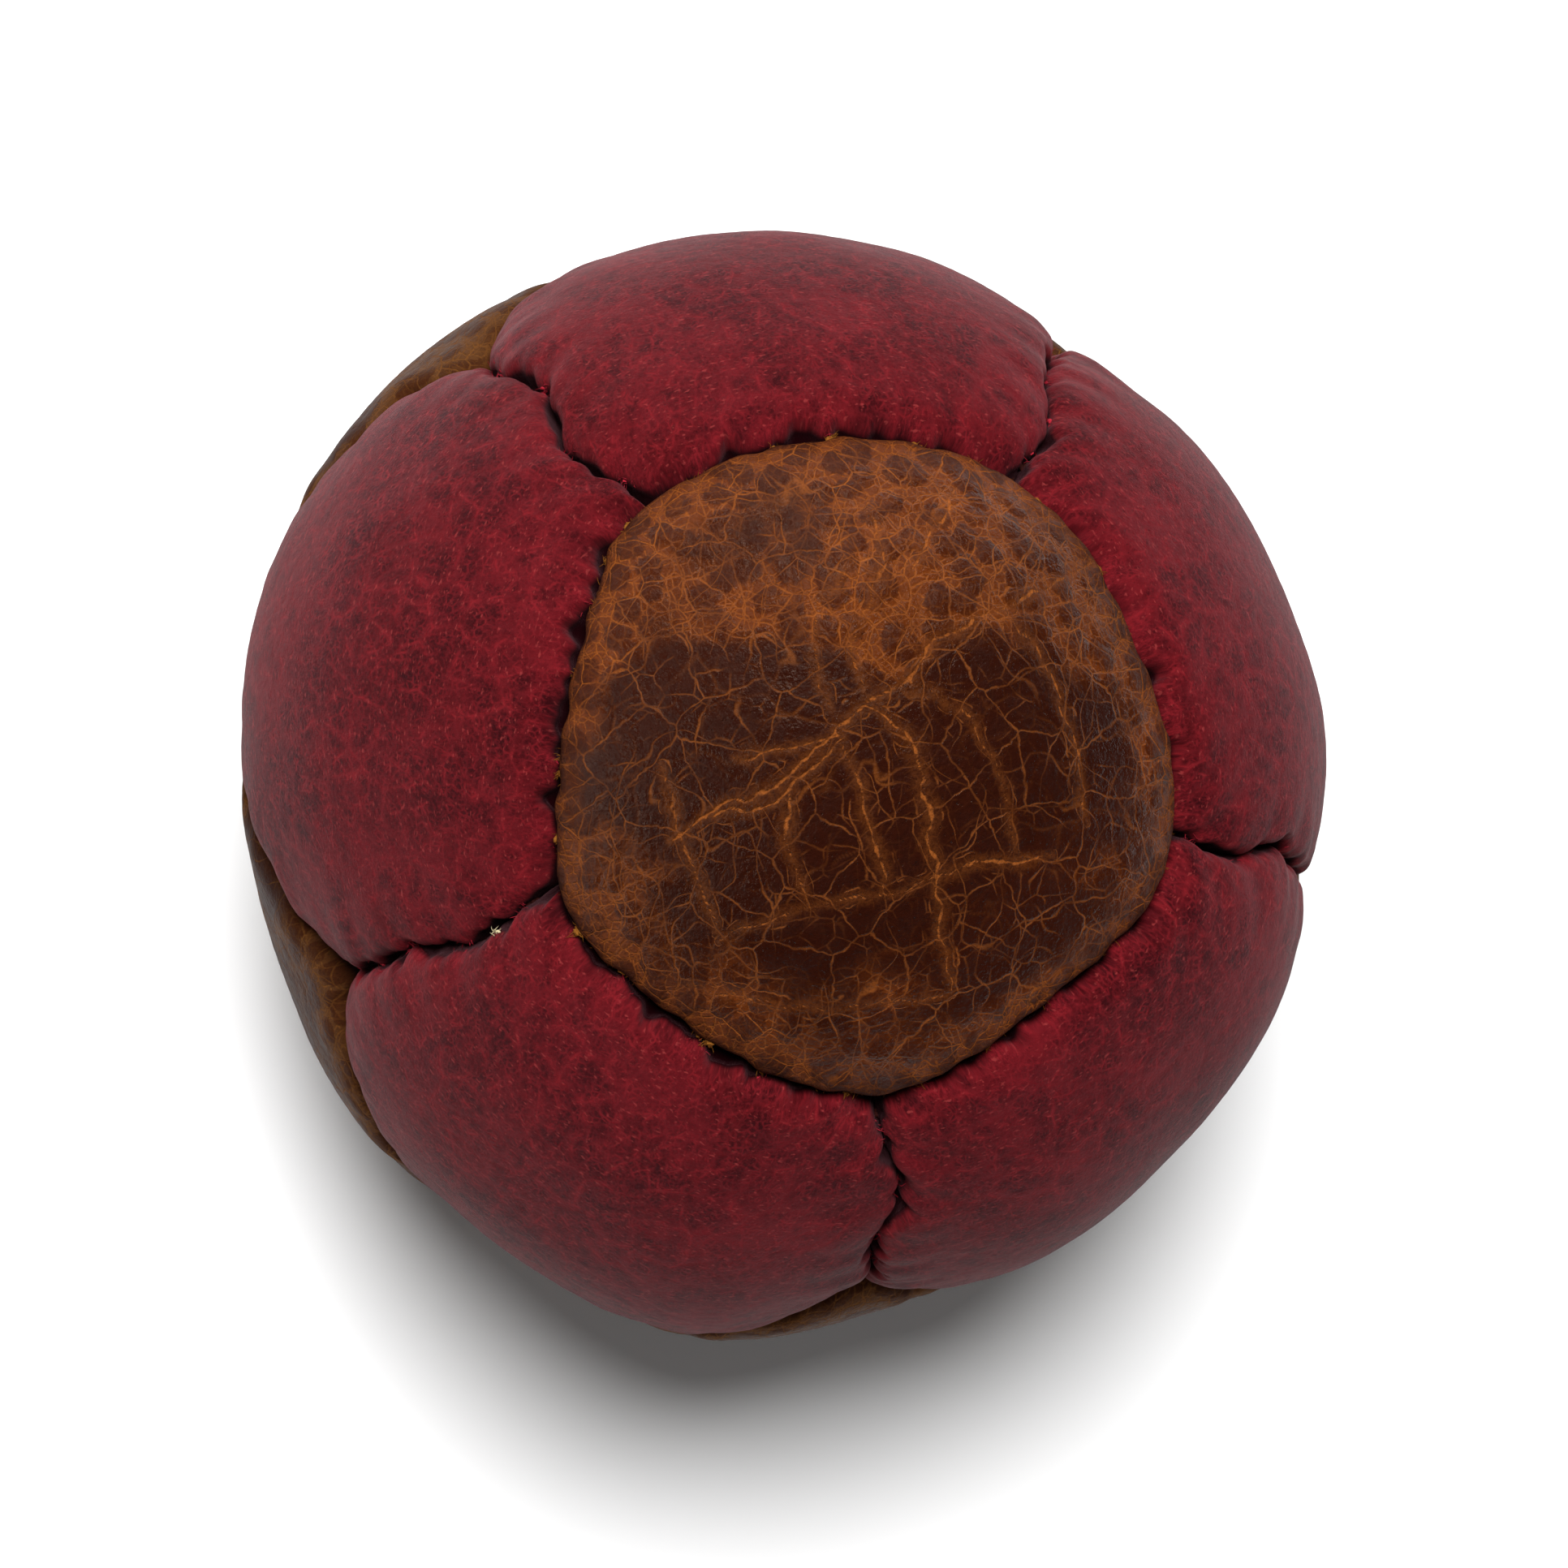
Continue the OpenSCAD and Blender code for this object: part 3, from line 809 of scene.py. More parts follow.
NUB_V, NUB_F = ico(2)
# Larger tufts of torn leather on the panels' edges: panel, polar, azimuth, size in mm, tone (above 1 is cream thread)
TUFTS = [(0, 39.3, 117.3, 0.55, 0.8), (0, 37.1, 146.8, 0.50, 0.9), (0, 37.8, 173.7, 0.20, 0.7), (0, 35.5, 359.9, 0.22, 0.7),
         (0, 34.4, 89.5, 0.25, 0.5), (0, 37.2, 49.8, 0.20, 0.6), (3, 47.4, 110.7, 0.26, 2.0)]


def fibres(k, kind, edge_pts, edge_dir, lean, full, seed):
    """Fibres and nubs on this panel's edge: thickest at the stitches, a few between them."""
    r = np.random.default_rng(seed + 900)
    m = len(edge_pts)
    vs, fs, raw, count = [], [], [], 0
    along = unit(np.roll(edge_pts, -1, axis=0) - edge_pts)
    pull = full["pull"]
    peaks = [i for i in range(m) if pull[i] > 0.6 and pull[i] >= pull[i - 1] and pull[i] > pull[(i + 1) % m]]
    busy = 7 if kind != "crown" else 8
    for i in peaks:
        much = r.uniform(0.3, 1.4)
        for _ in range(int(busy * much) + 2):
            j = (i + int(r.normal(0, 0.45) / (5 * SEAM_L / m))) % m
            start = edge_pts[j] + edge_dir[j] * r.uniform(-0.05, 0.45) + lean[j] * r.uniform(0.05, 0.35)
            way = edge_dir[j] * r.uniform(0.2, 1.0) - lean[j] * r.uniform(0.0, 1.1) + along[j] * r.normal(0, 0.7)
            v, f = fibre(start, way, r.uniform(0.25, 0.75), r.uniform(0.018, 0.04), r, 1.3)
            vs.append(v); fs.append(f + count); count += len(v)
            raw.append(np.full(len(v), r.uniform(0.3, 1.0)))
        if r.random() < (0.55 if kind != "crimson" else 0.35):
            size = r.uniform(0.10, 0.26) * (1.3 if kind == "crown" else 0.8)
            j = (i + int(r.normal(0, 0.2) / (5 * SEAM_L / m))) % m
            lump = NUB_V * (1 + 0.5 * noise(NUB_V + i, 0.7, seed + i, 2))[:, None]
            squash = np.array([1.0, r.uniform(0.6, 0.9), r.uniform(0.5, 0.8)])
            a, b, c = along[j], -lean[j], edge_dir[j]
            lump = lump * squash
            v = edge_pts[j] + edge_dir[j] * 0.30 + lean[j] * 0.08 + size * (lump[:, :1] * a + lump[:, 1:2] * b + lump[:, 2:] * c)
            vs.append(v); fs.append(NUB_F + count); count += len(v)
            raw.append(np.full(len(v), 0.85))
    for owner, polar, azimuth, size, tone in TUFTS:
        if owner != k:
            continue
        j = int((unit(edge_pts - CENTRE) @ direction(polar, azimuth)).argmax())
        for _ in range(3 if tone < 1 else 2):
            lump = NUB_V * (1 + 0.6 * noise(NUB_V * 1.3 + j, 0.6, seed + len(vs), 2))[:, None] * np.array([1.0, 0.75, 0.6])
            at = r.normal(0, 0.32 * size, 3)
            v = (edge_pts[j] + edge_dir[j] * (0.28 + 0.1 * size) + lean[j] * 0.05 + at
                 + size * r.uniform(0.35, 0.6) * (lump[:, :1] * along[j] - lump[:, 1:2] * lean[j] + lump[:, 2:] * edge_dir[j]))
            vs.append(v); fs.append(NUB_F + count); count += len(v)
            raw.append(np.full(len(v), tone))
        for _ in range(14):
            start = edge_pts[j] + edge_dir[j] * r.uniform(0.1, 0.5) + r.normal(0, 0.3 * size, 3)
            way = edge_dir[j] * r.uniform(0.3, 1.0) - lean[j] * r.uniform(0.0, 0.9) + along[j] * r.normal(0, 0.8)
            v, f = fibre(start, way, r.uniform(0.3, 0.8) * (0.5 + size), r.uniform(0.02, 0.04), r, 1.6)
            vs.append(v); fs.append(f + count); count += len(v)
            raw.append(np.full(len(v), tone))
    for _ in range(60):
        j = int(r.integers(m))
        start = edge_pts[j] + edge_dir[j] * r.uniform(0.1, 0.6) + lean[j] * r.uniform(0.1, 0.4)
        way = edge_dir[j] * r.uniform(0.2, 1.0) - lean[j] * r.uniform(0.2, 0.9) + along[j] * r.normal(0, 0.8)
        v, f = fibre(start, way, r.uniform(0.15, 0.4), r.uniform(0.012, 0.022), r, 1.0)
        vs.append(v); fs.append(f + count); count += len(v)
        raw.append(np.full(len(v), r.uniform(0.1, 0.8)))
    v = np.concatenate(vs)
    v[:, 2] = np.maximum(v[:, 2], 0.02)
    return v, np.concatenate(fs), np.concatenate(raw)


# ---------------------------------------------------------------------------
# Thread: a two-ply twisted saddle stitch that follows each seam
# ---------------------------------------------------------------------------
def tube(path, radius, sides=8, closed_ends=True):
    """A round tube along points: vertices, quads and triangles."""
    path = np.asarray(path, float)
    tangent = unit(np.gradient(path, axis=0))
    up = np.zeros_like(path)
    ref = unit(np.cross(tangent[0], [0.3, 0.5, 0.8]))
    for i in range(len(path)):
        ref = unit(ref - (ref @ tangent[i]) * tangent[i])
        up[i] = ref
    other = np.cross(tangent, up)
    ang = np.arange(sides) / sides * 2 * math.pi
    radius = np.broadcast_to(np.asarray(radius, float), (len(path),))
    ring = path[:, None] + radius[:, None, None] * (np.cos(ang)[None, :, None] * up[:, None] + np.sin(ang)[None, :, None] * other[:, None])
    v = ring.reshape(-1, 3)
    i = np.arange(len(path) - 1)[:, None] * sides
    j = np.arange(sides)[None, :]
    a, b = i + j, i + (j + 1) % sides
    quads = np.stack([a, b, b + sides, a + sides], -1).reshape(-1, 4)
    n = len(v)
    v = np.concatenate([v, path[:1] - tangent[:1] * radius[0] * 0.6, path[-1:] + tangent[-1:] * radius[-1] * 0.6])
    last = (len(path) - 1) * sides
    tris = np.concatenate([
        np.column_stack([np.full(sides, n), (np.arange(sides) + 1) % sides, np.arange(sides)]),
        np.column_stack([np.full(sides, n + 1), last + np.arange(sides), last + (np.arange(sides) + 1) % sides])])
    return v, quads, tris


def resample(path, step):
    path = np.asarray(path, float)
    for _ in range(3):      # round the turns
        keep = path
        path = np.empty((len(keep) * 2, 3))
        path[0], path[-1] = keep[0], keep[-1]
        path[1:-1:2] = 0.75 * keep[:-1] + 0.25 * keep[1:]
        path[2:-1:2] = 0.25 * keep[:-1] + 0.75 * keep[1:]
    seg = np.linalg.norm(np.diff(path, axis=0), axis=1)
    along = np.concatenate([[0], np.cumsum(seg)])
    at = np.linspace(0, along[-1], int(along[-1] / step) + 2)
    return np.stack([np.interp(at, along, path[:, c]) for c in range(3)], 1), at


def two_ply(path, thick, step=0.16, pitch=1.5):
    """A thread of two plies twisted round each other."""
    mid, at = resample(path, step)
    tangent = unit(np.gradient(mid, axis=0))
    ref = unit(np.cross(tangent[0], [0.3, 0.5, 0.8]))
    ups = np.zeros_like(mid)
    for i in range(len(mid)):
        ref = unit(ref - (ref @ tangent[i]) * tangent[i])
        ups[i] = ref
    other = np.cross(tangent, ups)
    vs, qs, ts, count = [], [], [], 0
    for ply in (0, 1):
        a = at / pitch * 2 * math.pi + ply * math.pi
        line = mid + thick * 0.23 * (np.cos(a)[:, None] * ups + np.sin(a)[:, None] * other)
        v, q, t = tube(line, thick * 0.27, 6)
        vs.append(v); qs.append(q + count); ts.append(t + count)
        count += len(v)
    return np.concatenate(vs), np.concatenate(qs), np.concatenate(ts)


def build_thread(s, name):
    q = SEAM[s]
    a, b = AXES, None
    faces = [k for k in range(12) if IDEAL[q["a"]] @ AXES[k] > 0.75 and IDEAL[q["b"]] @ AXES[k] > 0.75]
    r = np.random.default_rng(3000 + s)
    d, n = seam_points(s, q["at"])
    depth = 30.0
    off = LEATHER_T + 0.45
    pts = [CENTRE + d[i] * depth for i in range(STITCHES)]
    ends = seam_points(s, np.array([q["at"][0] - 0.045, q["at"][-1] + 0.045]))[0]
    vs, qs, ts, count = [], [], [], 0
    for side in (-1, 1):
        # each run goes along one side and through the leather at every hole, as a saddle stitch does
        path = [CENTRE + ends[0] * depth + side * off * n]
        sgn = side
        for i in range(STITCHES):
            wob = d[i] * r.uniform(-0.12, 0.12)
            path.append(pts[i] + wob + sgn * off * n)
            path.append(pts[i] + wob + sgn * 0.4 * off * n + (0.18 * side) * unit(np.cross(d[i], n)))
            path.append(pts[i] + wob - sgn * 0.4 * off * n + (0.18 * side) * unit(np.cross(d[i], n)))
            path.append(pts[i] + wob - sgn * off * n)
            sgn = -sgn
        path.append(CENTRE + ends[1] * depth + sgn * off * n)
        v, f, t = two_ply(path, 0.62)
        vs.append(v); qs.append(f + count); ts.append(t + count); count += len(v)
    # a knot at both ends
    for e, w in ((0, ends[0]), (1, ends[1])):
        for side in (-1, 1):
            centre = CENTRE + w * depth + side * (off + 0.25) * n
            turn = np.linspace(0, 2 * math.pi * 1.6, 26)
            ax, ay = unit(np.cross(w, n)), w
            coil = centre + 0.38 * (np.cos(turn)[:, None] * ax + np.sin(turn)[:, None] * ay) + (side * 0.30 * (turn / turn[-1] - 0.5))[:, None] * n
            v, f, t = two_ply(coil, 0.55, 0.14)
            vs.append(v); qs.append(f + count); ts.append(t + count); count += len(v)
    v = np.concatenate(vs)
    v[:, 2] = np.maximum(v[:, 2], 0.4)
    return make_mesh(name, v * MM, np.concatenate(qs), np.concatenate(ts))


# ---------------------------------------------------------------------------
# Materials
# ---------------------------------------------------------------------------
def lin(hexa):
    out = []
    for i in (0, 2, 4):
        c = int(hexa[i:i + 2], 16) / 255
        out.append(c / 12.92 if c <= 0.04045 else ((c + 0.055) / 1.055) ** 2.4)
    return (*out, 1.0)


def dye(hexa):
    """A leather colour: the leather takes up a fifth of the light."""
    c = lin(hexa)
    return (c[0] * 0.80, c[1] * 0.80, c[2] * 0.80, 1.0)


class Nodes:
    """A material's node tree, built by calls."""

    def __init__(self, name):
        self.mat = bpy.data.materials.new(name)
        self.mat.use_nodes = True
        self.t = self.mat.node_tree
        self.t.nodes.clear()
        self.out = self.t.nodes.new("ShaderNodeOutputMaterial")
        self.bsdf = self.t.nodes.new("ShaderNodeBsdfPrincipled")
        self.t.links.new(self.bsdf.outputs[0], self.out.inputs["Surface"])

    def put(self, socket, value):
        if isinstance(value, bpy.types.NodeSocket):
            self.t.links.new(value, socket)
        elif value is not None:
            socket.default_value = value

    def node(self, kind, out=0, ins=(), **props):
        n = self.t.nodes.new(kind)
        for k, v in props.items():
            setattr(n, k, v)
        for k, v in dict(ins).items():
            self.put(n.inputs[k], v)
        return n.outputs[out]

    def attr(self, name, vector=False):
        return self.node("ShaderNodeAttribute", "Vector" if vector else "Fac", attribute_name=name, attribute_type="GEOMETRY")

    def math(self, op, a, b=None, c=None, clamp=False):
        n = self.t.nodes.new("ShaderNodeMath")
        n.operation, n.use_clamp = op, clamp
        for i, v in enumerate((a, b, c)):
            if v is not None:
                self.put(n.inputs[i], v)
        return n.outputs[0]

    def ramp(self, x, lo, hi, a=0.0, b=1.0, smooth=True):
        return self.node("ShaderNodeMapRange", 0, {"Value": x, "From Min": lo, "From Max": hi, "To Min": a, "To Max": b},
                         interpolation_type="SMOOTHSTEP" if smooth else "LINEAR", clamp=True)

    def mix(self, f, a, b, blend="MIX"):
        n = self.t.nodes.new("ShaderNodeMix")
        n.data_type, n.blend_type = "RGBA", blend
        self.put(n.inputs["Factor"], f)
        self.put(n.inputs[6], a)
        self.put(n.inputs[7], b)
        return n.outputs[2]

    def noise(self, vec, scale, detail=2.0, rough=0.5, out=0, distort=0.0):
        return self.node("ShaderNodeTexNoise", out, {"Vector": vec, "Scale": scale, "Detail": detail, "Roughness": rough, "Distortion": distort})

    def voronoi(self, vec, scale, feature="F1", out="Distance", rand=1.0, dims="3D"):
        return self.node("ShaderNodeTexVoronoi", out, {"Vector": vec, "Scale": scale, "Randomness": rand}, feature=feature, voronoi_dimensions=dims)

    def vmath(self, op, a, b=None, scale=None):
        n = self.t.nodes.new("ShaderNodeVectorMath")
        n.operation = op
        self.put(n.inputs[0], a)
        if b is not None:
            self.put(n.inputs[1], b)
        if scale is not None:
            self.put(n.inputs["Scale"], scale)
        return n.outputs[0]

    def bump(self, height, strength, distance, normal=None):
        ins = {"Height": height, "Strength": strength, "Distance": distance}
        if normal is not None:
            ins["Normal"] = normal
        return self.node("ShaderNodeBump", 0, ins)

    def set(self, **values):
        for k, v in values.items():
            self.put(self.bsdf.inputs[k.replace("_", " ")], v)


def warped(n, vec, amount, scale):
    """vec pushed about by noise."""
    w = n.noise(vec, scale, 2.0, out="Color")
    w = n.vmath("SUBTRACT", w, (0.5, 0.5, 0.5))
    return n.vmath("ADD", vec, n.vmath("SCALE", w, scale=amount))


def flat_on(n, vec):
    """A panel's flat position moved aside by its own number, for patterns that are worked out in two dimensions."""
    s = n.node("ShaderNodeSeparateXYZ", 0, {"Vector": vec}).node
    x = n.math("MULTIPLY_ADD", s.outputs[2], 7.3, s.outputs[0])
    y = n.math("MULTIPLY_ADD", s.outputs[2], 3.1, s.outputs[1])
    return n.node("ShaderNodeCombineXYZ", 0, {"X": x, "Y": y})


def brown_material(name, polish):
    n = Nodes(name)
    p = n.attr("flat_mm", True)
    crack, tone, edge = n.attr("crack"), n.attr("tone"), n.attr("edge_mm")
    raw, depth, fib, pull = n.attr("raw"), n.attr("depth"), n.attr("fibre"), n.attr("pull")
    w1 = warped(n, flat_on(n, p), 1.3, 0.33)
    w2 = warped(n, w1, 0.26, 1.2)
    long_c = n.voronoi(warped(n, w1, 0.7, 0.9), 0.25, "DISTANCE_TO_EDGE", dims="2D")
    mid_c = n.voronoi(w2, 0.52, "DISTANCE_TO_EDGE", dims="2D")
    tiny_c = n.voronoi(w2, 1.45, "DISTANCE_TO_EDGE", dims="2D")
    round_c = n.voronoi(w2, 0.50, "F1", "Distance", 0.9, dims="2D")
    cloud = n.noise(p, 0.16, 4.0, 0.6)
    patch = n.noise(p, 0.30, 3.0, 0.6)
    mottle = n.noise(p, 1.5, 4.0, 0.65)
    grain = n.noise(p, 7.0, 3.0, 0.6)
    streak = n.noise(w1, 2.4, 3.0, 0.7)
    vary = n.ramp(n.noise(p, 0.5, 2.0), 0.34, 0.66, 0.40, 1.0)
    # long thin creases that run on past each other, in three directions
    place = n.node("ShaderNodeSeparateXYZ", 0, {"Vector": warped(n, flat_on(n, p), 0.5, 0.9)}).node
    strand = None
    for dx, dy, drift, most in ((0.25, 1.30, 0.0, 0.80), (1.00, 0.30, 40.0, 0.55), (0.70, -0.75, 80.0, 0.55)):
        push = n.math("MULTIPLY", n.noise(n.vmath("ADD", p, (drift, drift, drift)), 0.20, 1.0, 0.5), 9.0)
        phase = n.math("MULTIPLY_ADD", place.outputs[0], dx, push)
        phase = n.math("MULTIPLY_ADD", place.outputs[1], dy, phase)
        shown = n.ramp(n.noise(n.vmath("ADD", p, (drift, 9.0, drift)), 0.15, 1.0), 0.46, 0.60, 0.05, most)
        one = n.math("MULTIPLY", n.ramp(n.math("ABSOLUTE", n.math("SINE", phase)), 0.01, 0.13, 1.0, 0.0), shown)
        strand = one if strand is None else n.math("MAXIMUM", strand, one)
    # the wax is rubbed off towards the edges of the panel
    worn = n.math("ADD", tone, n.math("MULTIPLY", n.math("SUBTRACT", cloud, 0.5), 0.55))
    worn = n.ramp(n.math("ADD", worn, n.ramp(edge, 0.4, 4.5, 0.30, 0.0)), 0.30, 0.85)
    # creases, as distances: a long one, its twin beside it, and the finer net between them
    crease = n.attr("crease_mm")
    shaky = n.math("ADD", crease, n.math("MULTIPLY", n.math("SUBTRACT", n.noise(p, 1.6, 3.0, 0.6), 0.5), 0.40))
    l_main = n.math("MULTIPLY", n.ramp(n.math("ABSOLUTE", shaky), 0.02, 0.15, 1.0, 0.0), n.ramp(streak, 0.30, 0.55, 0.55, 1.0))
    twin = n.math("ABSOLUTE", n.math("SUBTRACT", crease, n.ramp(patch, 0.3, 0.7, 0.35, 0.95)))
    l_twin = n.math("MULTIPLY", n.ramp(twin, 0.02, 0.09, 1.0, 0.0), n.math("MULTIPLY", n.ramp(n.noise(p, 0.6, 2.0), 0.48, 0.62), 0.55))
    l_long = n.math("MULTIPLY", n.math("MAXIMUM", n.math("MULTIPLY", n.ramp(long_c, 0.003, 0.026, 1.0, 0.0), 0.55), n.math("MULTIPLY", strand, n.ramp(worn, 0.0, 1.0, 0.75, 1.0))), vary)
    l_mid = n.math("MULTIPLY", n.ramp(mid_c, 0.004, 0.050, 1.0, 0.0), n.math("MULTIPLY", n.math("MAXIMUM", n.math("MULTIPLY", n.ramp(patch, 0.44, 0.62), 0.45), n.math("MULTIPLY", worn, 0.85)), vary))
    near_crease = n.ramp(crease, 0.2, 1.2, 0.18, 0.0)
        # rounded dark plates where the wax is left between the worn creases
    plates = n.math("ADD", round_c, n.math("MULTIPLY", n.math("SUBTRACT", streak, 0.5), 0.22))
    plates = n.math("MULTIPLY", n.ramp(plates, 0.50, 0.40), n.ramp(n.math("ADD", patch, n.math("MULTIPLY", mottle, 0.25)), 0.50, 0.64, 0.40, 0.90))
    between = n.math("MULTIPLY", worn, n.math("SUBTRACT", 1.0, n.math("MULTIPLY", plates, 0.85)))
    l_tiny = n.math("MULTIPLY", n.ramp(tiny_c, 0.01, 0.13, 1.0, 0.0), n.math("MAXIMUM", n.math("MULTIPLY", n.math("MULTIPLY", between, n.ramp(streak, 0.38, 0.58, 0.35, 1.0)), 0.70), near_crease))
    glow = n.math("MULTIPLY", n.ramp(crease, 0.05, 0.9, 0.26, 0.0), n.ramp(streak, 0.36, 0.62, 0.3, 1.0))
    lines = n.math("MAXIMUM", n.math("MAXIMUM", l_main, l_twin), n.math("MAXIMUM", l_long, l_mid))
    lines = n.math("MAXIMUM", n.math("MAXIMUM", lines, l_tiny), n.math("MAXIMUM", glow, n.math("MULTIPLY", n.ramp(crack, 0.15, 0.75), 0.20)), clamp=True)
    pores = n.voronoi(p, 2.6, "F1", "Distance", 1.0)
    pore = n.math("MULTIPLY", n.ramp(pores, 0.05, 0.22, 1.0, 0.0), n.ramp(patch, 0.62, 0.46, 0.25, 1.0))
    dark = n.mix(mottle, dye("200a06" if polish else "2a110a"), dye("331309" if polish else "41200f"))
    tan = n.mix(mottle, dye("4a210b" if polish else "4a2b16"), dye("662f0f" if polish else "664020"))
    brown = n.mix(n.math("MULTIPLY", plates, 0.95 if polish else 0.75), tan, n.mix(mottle, dye("2c0f06"), dye("3d1709")))
    col = n.mix(worn, dark, brown)
    orange = n.mix(grain, dye("7a3d12"), dye("a65e28")) if polish else n.mix(grain, dye("70401a"), dye("92602c"))
    col = n.mix(n.math("MULTIPLY", lines, 0.84 if polish else 0.72), col, orange)
    col = n.mix(n.ramp(grain, 0.50, 0.30, 0.0, 0.35), col, dye("240d06"))
    col = n.mix(n.math("MULTIPLY", pore, 0.40), col, dye("1e0b05"))
    if polish:
        # lighter on the crown's upper side and its lower right: partly the wax worn thin there, and on the upper side
        # partly painted highlight that stands in for the glints of the upper soft box
        upper = n.ramp(n.math("MULTIPLY_ADD", place.outputs[1], 0.5, place.outputs[0]), 5.0, 12.0)
        lower = n.ramp(n.math("MULTIPLY_ADD", place.outputs[0], -1.2, n.math("MULTIPLY", place.outputs[1], -1.0)), 14.5, 19.5, 0.0, 0.9)
        col = n.mix(n.math("MAXIMUM", upper, lower), col, n.vmath("MULTIPLY", col, (1.22, 1.20, 1.14)))
    # the rolled edge is plainer, and the raw flesh side and torn fibres are tan
    roll = n.ramp(edge, 0.0, 1.4, 1.0, 0.0)
    col = n.mix(n.math("MULTIPLY", roll, 0.40), col, dye("361a0d"))
    # painted shade: near-black where depth is high, down the seam gap and in the sunken corners
    col = n.mix(n.ramp(depth, 0.25, 0.60), col, dye("0e0603"))
    flesh = n.mix(grain, dye("8a5a34"), dye("b58452"))
    col = n.mix(raw, col, flesh)
    tuft = n.mix(fib, dye("5a2f0d"), dye("8f5a22"))
    col = n.mix(n.ramp(fib, 0.01, 0.05), col, tuft)
    gloss = n.noise(p, 0.75, 3.0, 0.6)
    rough = n.math("ADD", n.ramp(gloss, 0.42, 0.60, 0.40, 0.14) if polish else 0.55, n.math("MULTIPLY", lines, 0.40))
    rough = n.math("ADD", rough, n.math("MULTIPLY", n.math("SUBTRACT", mottle, 0.5), 0.25))
    rough = n.math("ADD", rough, n.ramp(edge, 0.2, 3.0, 0.45, 0.0))
    rough = n.math("MAXIMUM", rough, n.math("MULTIPLY", raw, 0.9), clamp=True)
    dome = n.math("MULTIPLY", n.ramp(round_c, 0.60, 0.10), worn)
    h = n.math("SUBTRACT", n.math("MULTIPLY", dome, 1.6), n.math("MULTIPLY", lines, 0.8))
    h = n.math("ADD", h, n.math("MULTIPLY", n.noise(p, 2.6, 4.0, 0.6), 0.6))
    h = n.math("SUBTRACT", h, n.math("MULTIPLY", pore, 0.35))
    b1 = n.bump(h, 0.9, 0.00009 if polish else 0.00006)
    b2 = n.bump(n.noise(p, 2.9, 3.0, 0.6), 1.0, 0.00011, b1)
    n.set(Base_Color=col, Roughness=rough, Normal=b2)
    n.bsdf.inputs["Specular IOR Level"].default_value = 0.13 if polish else 0.05
    return n.mat


